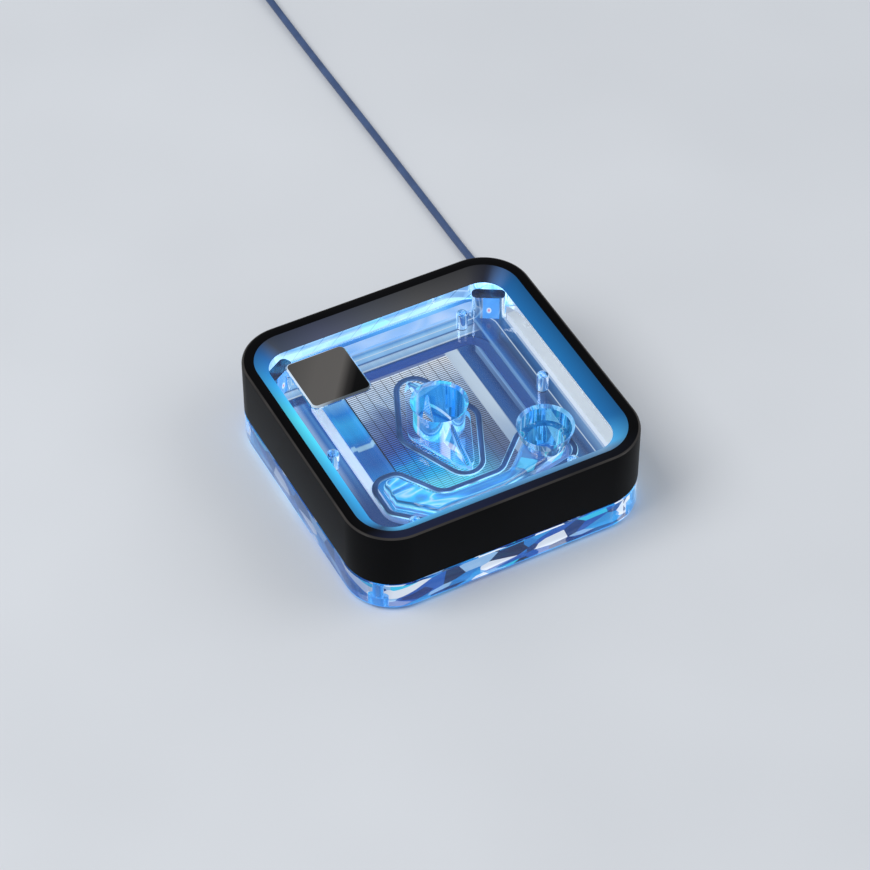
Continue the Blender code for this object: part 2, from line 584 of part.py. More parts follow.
# Corner lights, just over the plate
for number, (x, y, degrees) in enumerate(CORNER_LEDS, start=1):
    square = turned_square(CORNER_LED_SIZE / 2, POCKET_CORNER / 3, degrees)
    stack(f"corner_led_{number}", [
        (square, RECESS_ROOF), (square, RECESS_ROOF + CORNER_LED_HEIGHT)], LED_LIGHT, (x, y))

# Cable: grommet, lead, coil, tie and plug
def ring_along_x(name, profile, material, x, y, z, segments):
    """A ring about an axis along +X. The profile is a closed section (radius, distance)."""
    bm = bmesh.new()
    loops = []
    for radius, distance in profile:
        ring = [(radius * math.cos(2 * math.pi * i / segments),
                 radius * math.sin(2 * math.pi * i / segments)) for i in range(segments)]
        loops.append(add_loop(bm, ring, distance))
    for lower, upper in zip(loops, loops[1:] + loops[:1]):
        bridge(bm, lower, upper)
    return along_x(add_object(name, bm, material), x, y, z)


flange_start = BODY_HALF + GAP - slot_right
ring_along_x("cable_grommet", [
    (sleeve_radius, 0.0), (sleeve_radius, flange_start), (GROMMET_FLANGE_RADIUS, flange_start),
    (GROMMET_FLANGE_RADIUS, flange_start + GROMMET_FLANGE), (CABLE_RADIUS + GAP, flange_start + GROMMET_FLANGE),
    (CABLE_RADIUS + GAP, 0.0)], GROMMET_GREY, slot_right, CABLE_EXIT_Y, CABLE_EXIT_Z, 16)


def smooth_curve(knots, spacing):
    """Even points along a Catmull-Rom curve through the knots."""
    dense = []
    knots = [knots[0] * 2 - knots[1]] + knots + [knots[-1] * 2 - knots[-2]]
    for a, b, c, d in zip(knots, knots[1:], knots[2:], knots[3:]):
        for step in range(40):
            t = step / 40
            dense.append(0.5 * (2 * b + (c - a) * t + (2 * a - 5 * b + 4 * c - d) * t ** 2
                                + (3 * b - a - 3 * c + d) * t ** 3))
    dense.append(knots[-2])
    points = [dense[0]]
    walked = 0.0
    for before, here in zip(dense, dense[1:]):
        walked += (here - before).length
        if walked >= spacing:
            points.append(here)
            walked = 0.0
    if (dense[-1] - points[-1]).length < spacing / 2:
        points.pop()
    points.append(dense[-1])
    return points


def cable_tube(name, points, radius, material):
    curve = bpy.data.curves.new(name, "CURVE")
    curve.dimensions = "3D"
    curve.bevel_depth = radius
    curve.bevel_resolution = 2
    curve.use_fill_caps = True
    spline = curve.splines.new("POLY")
    spline.points.add(len(points) - 1)
    for slot, place in zip(spline.points, points):
        slot.co = (*place, 1.0)
    curve.materials.append(material)
    obj = bpy.data.objects.new(name, curve)
    bpy.context.scene.collection.objects.link(obj)
    return obj


coil_band = 2 * CABLE_RADIUS * COIL_TURNS_ACROSS
coil_outer = COIL_MEAN_RADIUS + coil_band / 2
coil_inner = COIL_MEAN_RADIUS - coil_band / 2
coil_bottom = TIE_THICKNESS + GAP
coil_top = coil_bottom + 2 * CABLE_RADIUS * COIL_LAYERS
outer_turn = coil_outer - CABLE_RADIUS
coil_x = CABLE_LINE_X + outer_turn
# How far from the coil's centre line the free cable stays clear of the wound turns
clear_of_coil = math.sqrt((coil_outer + GAP) ** 2 - (outer_turn - CABLE_RADIUS) ** 2)

# The route on the surface: out of the grommet, down, round to the back, then straight along +Y
rest = CABLE_RADIUS + CABLE_CLEAR
route = [Vector(p) for p in (
    (slot_right - 1.2 * MM, CABLE_EXIT_Y, CABLE_EXIT_Z),
    (BODY_HALF + 2.0 * MM, CABLE_EXIT_Y, CABLE_EXIT_Z),
    (BODY_HALF + 5.0 * MM, CABLE_EXIT_Y + 1.4 * MM, 2.2 * MM),
    (BODY_HALF + 7.0 * MM, CABLE_EXIT_Y + 4.6 * MM, 1.3 * MM),
    (BODY_HALF + 7.4 * MM, CABLE_EXIT_Y + 9.0 * MM, rest),
    (BODY_HALF + 5.8 * MM, CABLE_EXIT_Y + 18.0 * MM, rest),
    (BODY_HALF + 3.2 * MM, CABLE_EXIT_Y + 28.0 * MM, rest),
    (CABLE_LINE_X, CABLE_EXIT_Y + 37.0 * MM, rest),
    (CABLE_LINE_X, 80.0 * MM, rest),
    (CABLE_LINE_X + 0.1 * MM, 110.0 * MM, rest),
    (CABLE_LINE_X, 145.0 * MM, rest),
    (CABLE_LINE_X, COIL_Y - clear_of_coil, coil_bottom + CABLE_RADIUS))]
cable_tube("led_cable", smooth_curve(route, CABLE_STEP), CABLE_RADIUS, CABLE_GREY)


def coil_ring(radius, z):
    points = [(radius * math.cos(2 * math.pi * i / COIL_SEGMENTS) + coil_x,
               radius * math.sin(2 * math.pi * i / COIL_SEGMENTS) + COIL_Y) for i in range(COIL_SEGMENTS)]
    return points, z


soft = CABLE_RADIUS / 2
loop_solid("cable_coil", [
    coil_ring(coil_outer, coil_bottom + soft), coil_ring(coil_outer, coil_top - soft),
    coil_ring(coil_outer - soft, coil_top), coil_ring(coil_inner + soft, coil_top),
    coil_ring(coil_inner, coil_top - soft), coil_ring(coil_inner, coil_bottom + soft),
    coil_ring(coil_inner + soft, coil_bottom), coil_ring(coil_outer - soft, coil_bottom)], CABLE_GREY)

# The tie wraps the wound turns at the coil's far side
band_half = coil_band / 2 + GAP
tie_middle_y = COIL_Y + COIL_MEAN_RADIUS
tie_low = coil_bottom - GAP
tie_high = coil_top + GAP


def tie_loop(grow, x):
    return [(x, tie_middle_y - band_half - grow, tie_low - grow), (x, tie_middle_y + band_half + grow, tie_low - grow),
            (x, tie_middle_y + band_half + grow, tie_high + grow), (x, tie_middle_y - band_half - grow, tie_high + grow)]


tie = bmesh.new()
tie_layers = [(TIE_THICKNESS, -TIE_WIDTH / 2), (TIE_THICKNESS, TIE_WIDTH / 2),
              (0.0, TIE_WIDTH / 2), (0.0, -TIE_WIDTH / 2)]
tie_loops = [[tie.verts.new(p) for p in tie_loop(grow, coil_x + along)] for grow, along in tie_layers]
for lower, upper in zip(tie_loops, tie_loops[1:] + tie_loops[:1]):
    bridge(tie, lower, upper)
add_object("cable_tie", tie, TIE_BLACK)

# The tail leaves the outer turn on the far side from the cable and ends in the plug
tail_x = coil_x + outer_turn
tail_start = COIL_Y - clear_of_coil
tail_end = tail_start - TAIL_LENGTH
tail_z = coil_bottom + CABLE_RADIUS
cable_tube("cable_tail", [
    Vector((tail_x, tail_start, tail_z)), Vector((tail_x, (tail_start + tail_end) / 2, tail_z)),
    Vector((tail_x, tail_end, tail_z))], CABLE_RADIUS, CABLE_GREY)
plug_back = tail_end - GAP
plug = box("cable_plug", (tail_x - PLUG_WIDTH / 2, plug_back - PLUG_LENGTH, 0.0),
           (tail_x + PLUG_WIDTH / 2, plug_back, PLUG_HEIGHT), PLUG_WHITE)
edges = plug.modifiers.new("edges", "BEVEL")
edges.width = PLUG_EDGE
edges.segments = 1
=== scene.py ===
import math

import bmesh
import bpy
from mathutils import Matrix, Vector


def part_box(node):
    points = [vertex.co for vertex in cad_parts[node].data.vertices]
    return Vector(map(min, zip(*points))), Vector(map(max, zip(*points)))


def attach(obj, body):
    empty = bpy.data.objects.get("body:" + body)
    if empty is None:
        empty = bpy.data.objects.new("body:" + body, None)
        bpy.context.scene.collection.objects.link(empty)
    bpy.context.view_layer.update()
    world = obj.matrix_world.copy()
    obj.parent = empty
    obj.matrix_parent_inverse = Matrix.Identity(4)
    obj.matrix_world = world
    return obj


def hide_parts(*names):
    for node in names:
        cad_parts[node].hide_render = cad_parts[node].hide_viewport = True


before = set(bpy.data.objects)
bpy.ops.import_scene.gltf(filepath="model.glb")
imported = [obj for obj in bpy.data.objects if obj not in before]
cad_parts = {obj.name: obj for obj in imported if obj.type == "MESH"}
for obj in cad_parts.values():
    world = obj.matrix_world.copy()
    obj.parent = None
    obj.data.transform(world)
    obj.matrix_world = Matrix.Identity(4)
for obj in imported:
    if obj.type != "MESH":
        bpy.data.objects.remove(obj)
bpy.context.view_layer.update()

MM = 0.001
bpy.ops.object.select_all(action="DESELECT")


# Camera at the photograph's angle, with the image taken as 870 x 870.
# Its place was found from the block's corners, its ports and its height.
CAMERA_TARGET = Vector((3.29, 8.30, 0.0)) * MM
CAMERA_DIRECTION = Vector((-0.32238, -0.61567, 0.71904))
CAMERA_DISTANCE = 732.25 * MM
CAMERA_LENS = 131.6
SENSOR_WIDTH = 36.0


def add_object(name, data):
    """A new object for a mesh, curve, lamp or camera, put into the scene."""
    obj = bpy.data.objects.new(name, data)
    bpy.context.scene.collection.objects.link(obj)
    return obj


camera_data = bpy.data.cameras.new("camera")
camera_data.lens = CAMERA_LENS
camera_data.sensor_width = SENSOR_WIDTH
camera_data.clip_end = 20.0
camera = add_object("camera", camera_data)
camera.location = CAMERA_TARGET + CAMERA_DIRECTION * CAMERA_DISTANCE
camera.rotation_euler = (-CAMERA_DIRECTION).to_track_quat("-Z", "Y").to_euler()
bpy.context.scene.camera = camera


# Lighting cable: a round 1.8 mm lead in a soft PVC sheath that feeds the lights of the block.
# It comes out of a grommet low in the side and lies along the surface behind the block. Its
# spare length is wound into a coil that a nylon tie holds.
def srgb(code):
    """A hex colour as it looks on screen, turned to the linear values that a shader takes."""
    values = [int(code[i:i + 2], 16) / 255 for i in (0, 2, 4)]
    linear = [v / 12.92 if v <= 0.04045 else ((v + 0.055) / 1.055) ** 2.4 for v in values]
    return (*linear, 1.0)


def set_inputs(node, inputs):
    """Give a node's inputs their values, or link them to other nodes."""
    for name, value in inputs.items():
        if isinstance(value, bpy.types.Node):
            value = next(socket for socket in value.outputs if socket.enabled)
        if isinstance(value, bpy.types.NodeSocket):
            node.id_data.links.new(value, node.inputs[name])
        else:
            node.inputs[name].default_value = value


def add_node(tree, kind, inputs=None, stops=(), **settings):
    """A node with its settings, its inputs (values, nodes or their outputs) and a ramp's stops."""
    node = tree.nodes.new("ShaderNode" + kind)
    for name, value in settings.items():
        setattr(node, name, value)
    set_inputs(node, inputs or {})
    if stops:
        elements = node.color_ramp.elements
        elements.remove(elements[1])
        elements[0].position = stops[0][0]
        elements[0].color = srgb(stops[0][1])
        for place, code in stops[1:]:
            elements.new(place).color = srgb(code)
    return node


def start_material(name, inputs):
    """A new material, its node tree, its shader, and the piece's own coordinates."""
    material = bpy.data.materials.new(name)
    material.use_nodes = True
    material.cycles.emission_sampling = "NONE"
    tree = material.node_tree
    shader = tree.nodes["Principled BSDF"]
    set_inputs(shader, inputs)
    place = add_node(tree, "TexCoord").outputs["Object"]
    return material, tree, shader, place


CABLE_RADIUS = 0.9 * MM
COIL_CENTRE = Vector((50.0, 189.0, 0.0)) * MM
COIL_TURN_RADII = (11.8, 10.0, 8.2)
COIL_LOW = 1.6 * MM
COIL_STEP_UP = 1.8 * MM
COIL_TURNS = 5.5
LAYER_TURNS = 3
STEP_PART = 0.2
TURN_POINTS = 16
TAIL_X = 61.8 * MM
TAIL_KNOTS = ((2.5, 3.4), (4.6, 3.2), (6.2, 2.65), (8.0, 1.95), (9.8, 1.6), (11.6, 1.6))
lead_knots = [Vector(k) * MM for k in (
    (33.4, 20.0, 2.9), (38.0, 20.0, 2.9), (41.0, 21.4, 2.2), (43.0, 24.6, 1.3), (43.4, 29.0, 1.0),
    (41.8, 38.0, 1.0), (39.2, 48.0, 1.0), (38.2, 57.0, 1.0), (38.2, 80.0, 1.0), (38.3, 110.0, 1.0),
    (38.2, 145.0, 1.0), (38.2, 181.915, 1.6))]


def smooth_curve(knots, spacing):
    """Even points along a smooth curve through the knots, as the solid's cable has them."""
    dense = []
    knots = [knots[0] * 2 - knots[1]] + knots + [knots[-1] * 2 - knots[-2]]
    for a, b, c, d in zip(knots, knots[1:], knots[2:], knots[3:]):
        for step in range(40):
            t = step / 40
            dense.append(0.5 * (2 * b + (c - a) * t + (2 * a - 5 * b + 4 * c - d) * t ** 2
                                + (3 * b - a - 3 * c + d) * t ** 3))
    dense.append(knots[-2])
    points = [dense[0]]
    walked = 0.0
    for before, here in zip(dense, dense[1:]):
        walked += (here - before).length
        if walked >= spacing:
            points.append(here)
            walked = 0.0
    if (dense[-1] - points[-1]).length < spacing / 2:
        points.pop()
    points.append(dense[-1])
    return points


cable_path = smooth_curve(lead_knots, 4.2 * MM)
cable_path.append(Vector((38.2 * MM, 186.0 * MM, COIL_LOW)))

# Three turns inwards on the surface, then two and a half outwards on top of them, all clockwise.
# Each turn keeps its radius and steps to the next one in its last fifth.
turn_radii = COIL_TURN_RADII + COIL_TURN_RADII[::-1]
for index in range(int(COIL_TURNS * TURN_POINTS) + 1):
    turns = index / TURN_POINTS
    whole = min(int(turns), len(turn_radii) - 1)
    following = min(whole + 1, len(turn_radii) - 1)
    blend = max(0.0, (turns - whole - 1 + STEP_PART) / STEP_PART)
    blend = blend * blend * (3 - 2 * blend)
    radius = (turn_radii[whole] + (turn_radii[following] - turn_radii[whole]) * blend) * MM
    level = min(max(0.0, (turns - LAYER_TURNS + STEP_PART) / STEP_PART), 1.0)
    level = level * level * (3 - 2 * level)
    angle = math.pi - 2 * math.pi * turns
    cable_path.append(COIL_CENTRE + Vector((
        radius * math.cos(angle), radius * math.sin(angle), COIL_LOW + COIL_STEP_UP * level)))
for down, height in TAIL_KNOTS:
    cable_path.append(Vector((TAIL_X, (189.0 - down) * MM, height * MM)))

cable_curve = bpy.data.curves.new("lighting_cable", "CURVE")
cable_curve.dimensions = "3D"
cable_curve.bevel_depth = CABLE_RADIUS
cable_curve.bevel_resolution = 6
cable_curve.resolution_u = 4
cable_curve.use_fill_caps = True
spline = cable_curve.splines.new("BEZIER")
spline.bezier_points.add(len(cable_path) - 1)
for knot, point in zip(spline.bezier_points, cable_path):
    knot.co = point
    knot.handle_left_type = "AUTO"
    knot.handle_right_type = "AUTO"
lighting_cable = add_object("lighting_cable", cable_curve)

# Soft PVC sheath, extruded: satin, faintly uneven along its length, with fine rubbed specks. Its blue-grey is
# painted in, as the cable looks in the block's blue light
pvc_sheath, tree, shader, place = start_material("soft_pvc_sheath", {"Roughness": 0.42, "IOR": 1.53})
cloud = add_node(tree, "TexNoise", {"Vector": place, "Scale": 160.0, "Detail": 3.0})
tint = add_node(tree, "ValToRGB", {0: cloud},
                stops=((0.3, "344a72"), (0.55, "3c547e"), (0.75, "46608e")))
specks = add_node(tree, "TexNoise", {"Vector": place, "Scale": 2600.0, "Detail": 2.0})
dull = add_node(tree, "MapRange", {0: specks, 3: 0.34, 4: 0.52})
grain = add_node(tree, "Bump", {"Strength": 0.12, "Distance": 0.0001, "Height": specks})
set_inputs(shader, {"Base Color": tint, "Roughness": dull, "Normal": grain})
cable_curve.materials.append(pvc_sheath)
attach(lighting_cable, "root")
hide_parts("led_cable", "cable_coil", "cable_tail")


# Cable plug: a three-way housing moulded in white nylon, pushed on the crimped ends of the wires.
# Its front has three square contact holes, its top two latch windows, and each side a guide channel.
def select_only(obj):
    """Make a piece the only selected and the active one."""
    bpy.ops.object.select_all(action="DESELECT")
    bpy.context.view_layer.objects.active = obj
    obj.select_set(True)


def edit_faces(obj, test, kind="FACE"):
    """Open a piece in edit mode with just the faces (or edges) selected that pass the test."""
    select_only(obj)
    bpy.ops.object.mode_set(mode="EDIT")
    bpy.ops.mesh.select_mode(type=kind)
    bpy.ops.mesh.select_all(action="DESELECT")
    shape = bmesh.from_edit_mesh(obj.data)
    for part in shape.faces if kind == "FACE" else shape.edges:
        part.select_set(test(part))
    bmesh.update_edit_mesh(obj.data)


def edit_edges(obj, test):
    """Open a piece in edit mode with just the edges selected that pass the test."""
    edit_faces(obj, test, "EDGE")


def leave_edit():
    """Close edit mode with nothing selected."""
    bpy.ops.object.mode_set(mode="OBJECT")
    bpy.ops.object.select_all(action="DESELECT")


def block(name, low, high, corner=0.0, segments=8):
    """A cube at its size and place, with its upright edges rounded."""
    low = Vector(low)
    high = Vector(high)
    bpy.ops.object.select_all(action="DESELECT")
    bpy.ops.mesh.primitive_cube_add(size=1.0, location=(low + high) / 2)
    obj = bpy.context.object
    obj.name = name
    obj.scale = high - low
    bpy.ops.object.transform_apply(location=True, rotation=True, scale=True)
    if corner:
        edit_edges(obj, lambda e: abs(e.verts[0].co.z - e.verts[1].co.z) > (high - low).z / 2)
        bpy.ops.mesh.bevel(offset=corner, segments=segments, affect="EDGES")
        leave_edit()
    return obj


def drill(name, radius, low, high, centre, segments=64):
    """An upright cylinder from one height to another."""
    bpy.ops.object.select_all(action="DESELECT")
    bpy.ops.mesh.primitive_cylinder_add(
        vertices=segments, radius=radius, depth=high - low, location=(centre[0], centre[1], (low + high) / 2))
    obj = bpy.context.object
    obj.name = name
    bpy.ops.object.transform_apply(location=True, rotation=True, scale=True)
    return obj


def carve(target, cutter, material=None):
    """Cut one piece with another, which then goes. The new faces take the given material."""
    if material:
        cutter.data.materials.clear()
        cutter.data.materials.append(material)
    modifier = target.modifiers.new("cut", "BOOLEAN")
    modifier.operation = "DIFFERENCE"
    modifier.solver = "EXACT"
    modifier.material_mode = "TRANSFER" if material else "INDEX"
    modifier.object = cutter
    select_only(target)
    bpy.ops.object.modifier_apply(modifier=modifier.name)
    bpy.data.objects.remove(cutter, do_unlink=True)


def soften(obj, width, segments=2, angle=30.0):
    """Round the sharp edges with a small applied bevel."""
    modifier = obj.modifiers.new("edges", "BEVEL")
    modifier.width = width
    modifier.segments = segments
    modifier.limit_method = "ANGLE"
    modifier.angle_limit = math.radians(angle)
    select_only(obj)
    bpy.ops.object.modifier_apply(modifier=modifier.name)


def finish_piece(obj, materials=(), angle=30.0):
    """Shade by angle, give the piece its materials and let it ride on the block."""
    select_only(obj)
    bpy.ops.object.shade_smooth_by_angle(angle=math.radians(angle))
    for index, material in enumerate(materials):
        if index < len(obj.data.materials):
            obj.data.materials[index] = material
        else:
            obj.data.materials.append(material)
    obj.select_set(False)
    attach(obj, "root")


PLUG_LOW, PLUG_HIGH = [Vector(c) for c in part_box("cable_plug")]
CONTACT_PITCH = 2.1 * MM
CONTACT_HALF = 0.5 * MM
CONTACT_DEPTH = 6.0 * MM
LATCH_OFFSET = 1.6 * MM
LATCH_HALF = 0.7 * MM
GUIDE_OFFSET = 3.5 * MM
GUIDE_HALF = Vector((0.45, 0.0, 0.35)) * MM
plug_middle = (PLUG_LOW + PLUG_HIGH) / 2
plug_housing = block("plug_housing", PLUG_LOW, PLUG_HIGH, 0.5 * MM, 4)
soften(plug_housing, 0.18 * MM)
for side in (-1, 0, 1):
    hole_x = plug_middle.x + side * CONTACT_PITCH
    carve(plug_housing, block(
        "contact_hole", (hole_x - CONTACT_HALF, PLUG_LOW.y - MM, plug_middle.z - CONTACT_HALF),
        (hole_x + CONTACT_HALF, PLUG_LOW.y + CONTACT_DEPTH, plug_middle.z + CONTACT_HALF)))
for side in (-1, 1):
    window_x = plug_middle.x + side * LATCH_OFFSET
    carve(plug_housing, block(
        "latch_window", (window_x - LATCH_HALF, plug_middle.y - 1.4 * MM, PLUG_HIGH.z - 0.5 * MM),
        (window_x + LATCH_HALF, plug_middle.y + MM, PLUG_HIGH.z + MM)))
    edge_x = plug_middle.x + side * GUIDE_OFFSET
    carve(plug_housing, block(
        "guide_channel", (edge_x - GUIDE_HALF.x, PLUG_LOW.y - MM, plug_middle.z - GUIDE_HALF.z),
        (edge_x + GUIDE_HALF.x, PLUG_HIGH.y - 1.6 * MM, plug_middle.z + GUIDE_HALF.z)))

# Moulded nylon: milky white and satin, with a faint flow pattern from the mould
nylon_white, tree, shader, place = start_material(
    "moulded_white_nylon", {"Roughness": 0.38, "IOR": 1.53,
                            "Subsurface Weight": 0.08, "Subsurface Scale": 0.0008})
flow = add_node(tree, "TexNoise", {"Vector": place, "Scale": 420.0, "Detail": 4.0, "Distortion": 0.6})
milk = add_node(tree, "ValToRGB", {0: flow}, stops=((0.3, "d2d2ca"), (0.7, "e2e1da")))
skin = add_node(tree, "Bump", {"Strength": 0.08, "Distance": 0.0001, "Height": flow})
set_inputs(shader, {"Base Color": milk, "Normal": skin})
finish_piece(plug_housing, [nylon_white])
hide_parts("cable_plug")


# Cable tie: a flat strap of black nylon 6/6 round both layers of the coil, drawn tight through its
# head. The cut-off end of the strap stands a little out of the head's front.
TIE_LOW, TIE_HIGH = [Vector(c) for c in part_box("cable_tie")]
STRAP_THICKNESS = 0.4 * MM
HEAD_FRONT = 2.6 * MM
HEAD_BACK = 0.6 * MM
HEAD_RISE = 1.3 * MM
nylon_strap = block("nylon_strap", TIE_LOW, TIE_HIGH)
edit_edges(nylon_strap, lambda e: abs(e.verts[0].co.x - e.verts[1].co.x) > 1 * MM)
bpy.ops.mesh.bevel(offset=0.9 * MM, segments=5, affect="EDGES")
leave_edit()
strap_inset = Vector((-MM, STRAP_THICKNESS, STRAP_THICKNESS))
carve(nylon_strap, block("strap_inside", TIE_LOW + strap_inset, TIE_HIGH - strap_inset))
soften(nylon_strap, 0.08 * MM, 2, 50)
tie_head = block("tie_head", (TIE_LOW.x + 0.1 * MM, TIE_HIGH.y - HEAD_FRONT, TIE_HIGH.z - 0.15 * MM),
                 (TIE_HIGH.x - 0.1 * MM, TIE_HIGH.y - HEAD_BACK, TIE_HIGH.z + HEAD_RISE), 0.3 * MM, 3)
edit_faces(tie_head, lambda f: f.normal.y < -0.9)
bpy.ops.mesh.inset(thickness=0.3 * MM)
bpy.ops.mesh.extrude_region_move(TRANSFORM_OT_translate={"value": (0, -0.5 * MM, 0)})
leave_edit()
soften(tie_head, 0.12 * MM)

# Nylon 6/6, moulded black: dark satin with a fine dry grain
nylon_black, tree, shader, place = start_material("black_nylon", {"Roughness": 0.45, "IOR": 1.53})
dry_grain = add_node(tree, "TexNoise", {"Vector": place, "Scale": 1800.0, "Detail": 2.0})
shade = add_node(tree, "ValToRGB", {0: dry_grain}, stops=((0.3, "141415"), (0.7, "1f1f21")))
rough = add_node(tree, "Bump", {"Strength": 0.2, "Distance": 0.0001, "Height": dry_grain})
set_inputs(shader, {"Base Color": shade, "Normal": rough})
finish_piece(nylon_strap, [nylon_black])
finish_piece(tie_head, [nylon_black])
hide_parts("cable_tie")


# Cable grommet: a soft rubber bush pressed into the side of the clear body, with a rounded flange.
# It keeps the cable off the sharp edge of the hole.
GROMMET_LOW, GROMMET_HIGH = [Vector(c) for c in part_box("cable_grommet")]
GROMMET_PROFILE = (
    (0.0, 1.2), (0.0, 1.55), (0.05, 1.6), (1.65, 1.6), (1.7, 2.1), (1.8, 2.25), (2.0, 2.3), (2.2, 2.25),
    (2.4, 2.05), (2.5, 1.7), (2.5, 1.35), (2.4, 1.2))
grommet_axis = ((GROMMET_LOW + GROMMET_HIGH) / 2).yz
grommet_mesh = bmesh.new()
profile = []
for along, radius in GROMMET_PROFILE:
    profile.append(grommet_mesh.verts.new(
        (GROMMET_LOW.x + along * MM, grommet_axis[0], grommet_axis[1] + radius * MM)))
for first, second in zip(profile, profile[1:] + profile[:1]):
    grommet_mesh.edges.new((first, second))
rubber_bush_data = bpy.data.meshes.new("rubber_bush")
grommet_mesh.to_mesh(rubber_bush_data)
grommet_mesh.free()
rubber_bush = add_object("rubber_bush", rubber_bush_data)
edit_edges(rubber_bush, lambda e: True)
bpy.ops.mesh.spin(steps=40, angle=2 * math.pi, center=(0.0, grommet_axis[0], grommet_axis[1]), axis=(1, 0, 0))
bpy.ops.mesh.select_all(action="SELECT")
bpy.ops.mesh.remove_doubles(threshold=0.001 * MM)
bpy.ops.mesh.normals_make_consistent(inside=False)
leave_edit()

# Nitrile rubber, moulded: near black and dull, with a fine powdery skin
nitrile, tree, shader, place = start_material("nitrile_rubber", {"Roughness": 0.6, "IOR": 1.52})
powder = add_node(tree, "TexNoise", {"Vector": place, "Scale": 1500.0, "Detail": 3.0})
soot = add_node(tree, "ValToRGB", {0: powder}, stops=((0.3, "191b1e"), (0.7, "26292d")))
skin = add_node(tree, "Bump", {"Strength": 0.15, "Distance": 0.0001, "Height": powder})
set_inputs(shader, {"Base Color": soot, "Normal": skin})
finish_piece(rubber_bush, [nitrile], 40)
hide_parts("cable_grommet")


# Cold plate: nickel-plated copper, milled from one piece, with hundreds of thin upright fins
# in its middle, a trough on each side of them and a groove for the seal. It is screwed on from below.
PLATE_HALF = 29.8 * MM
PLATE_TOP = 4.9 * MM
PLATE_CORNER = 5.0 * MM
FIELD_X = 15.0 * MM
FIELD_Y = 20.0 * MM
FINS_END = 12.3 * MM
FIN_DEPTH = 2.9 * MM
FIN_PITCH = 0.60 * MM
FIN_WIDTH = 0.30 * MM
CROSS_PITCH = 2.45 * MM
CROSS_WIDTH = 0.16 * MM
TROUGH_INNER = 15.3 * MM
TROUGH_OUTER = 19.6 * MM
TROUGH_DEPTH = 1.6 * MM
SEAL_OUTER = 23.0 * MM
SEAL_WIDTH = 2.3 * MM
SEAL_ROOM = 0.3 * MM
SCREW_HOLE = 1.35 * MM
HEAD_HOLE = 2.4 * MM
HEAD_HOLE_TOP = 2.2 * MM
PLATE_SCREW_PLACES = [(x * MM, y * MM) for x, y in (
    (-26.6, 0), (26.6, 0), (-19.8, -26.3), (19.8, -26.3), (-19.8, 26.3), (19.8, 26.3))]
cold_plate = block("nickel_plate", (-PLATE_HALF, -PLATE_HALF, 0.0), (PLATE_HALF, PLATE_HALF, PLATE_TOP),
    PLATE_CORNER, 14)
soften(cold_plate, 0.2 * MM, 2, 50)
carve(cold_plate, block("fin_pocket", (-FIELD_X, -FIELD_Y, PLATE_TOP - FIN_DEPTH),
    (FINS_END, FIELD_Y, PLATE_TOP + MM)))
for side in (-1, 1):
    low_x, high_x = sorted((side * TROUGH_INNER, side * TROUGH_OUTER))
    carve(cold_plate, block("trough", (low_x, -FIELD_Y, PLATE_TOP - TROUGH_DEPTH),
        (high_x, FIELD_Y, PLATE_TOP + MM), 1.2 * MM, 5))
groove_outer = SEAL_OUTER + SEAL_ROOM
seal_ring_cut = block("seal_groove", (-groove_outer, -groove_outer, PLATE_TOP - 1.4 * MM),
                      (groove_outer, groove_outer, PLATE_TOP + MM), 5.8 * MM, 12)
seal_core = SEAL_OUTER - SEAL_WIDTH - SEAL_ROOM
carve(seal_ring_cut, block("seal_core", (-seal_core, -seal_core, PLATE_TOP - 3 * MM),
                           (seal_core, seal_core, PLATE_TOP + 3 * MM), 2.9 * MM, 12))
carve(cold_plate, seal_ring_cut)
for spot in PLATE_SCREW_PLACES:
    carve(cold_plate, drill("plate_hole", SCREW_HOLE, -MM, PLATE_TOP + MM, spot, 32))
    carve(cold_plate, drill("counterbore", HEAD_HOLE, -MM, HEAD_HOLE_TOP, spot, 40))

# The fins: one is stretched to its size, then repeated both ways over the pocket's floor
fin_length = CROSS_PITCH - CROSS_WIDTH
columns = int((FIELD_X + FINS_END) / CROSS_PITCH)
rows = int(2 * FIELD_Y / FIN_PITCH)
first_x = FINS_END - columns * CROSS_PITCH
first_y = -rows * FIN_PITCH / 2 + (FIN_PITCH - FIN_WIDTH) / 2
fin_field = block("fin_field", (first_x, first_y, PLATE_TOP - FIN_DEPTH),
    (first_x + fin_length, first_y + FIN_WIDTH, PLATE_TOP))
for axis, count, step in ((0, columns, CROSS_PITCH), (1, rows, FIN_PITCH)):
    repeat = fin_field.modifiers.new("repeat", "ARRAY")
    repeat.count = count
    repeat.use_relative_offset = False
    repeat.use_constant_offset = True
    repeat.constant_offset_displace = (step, 0, 0) if axis == 0 else (0, step, 0)
    select_only(fin_field)
    bpy.ops.object.modifier_apply(modifier=repeat.name)

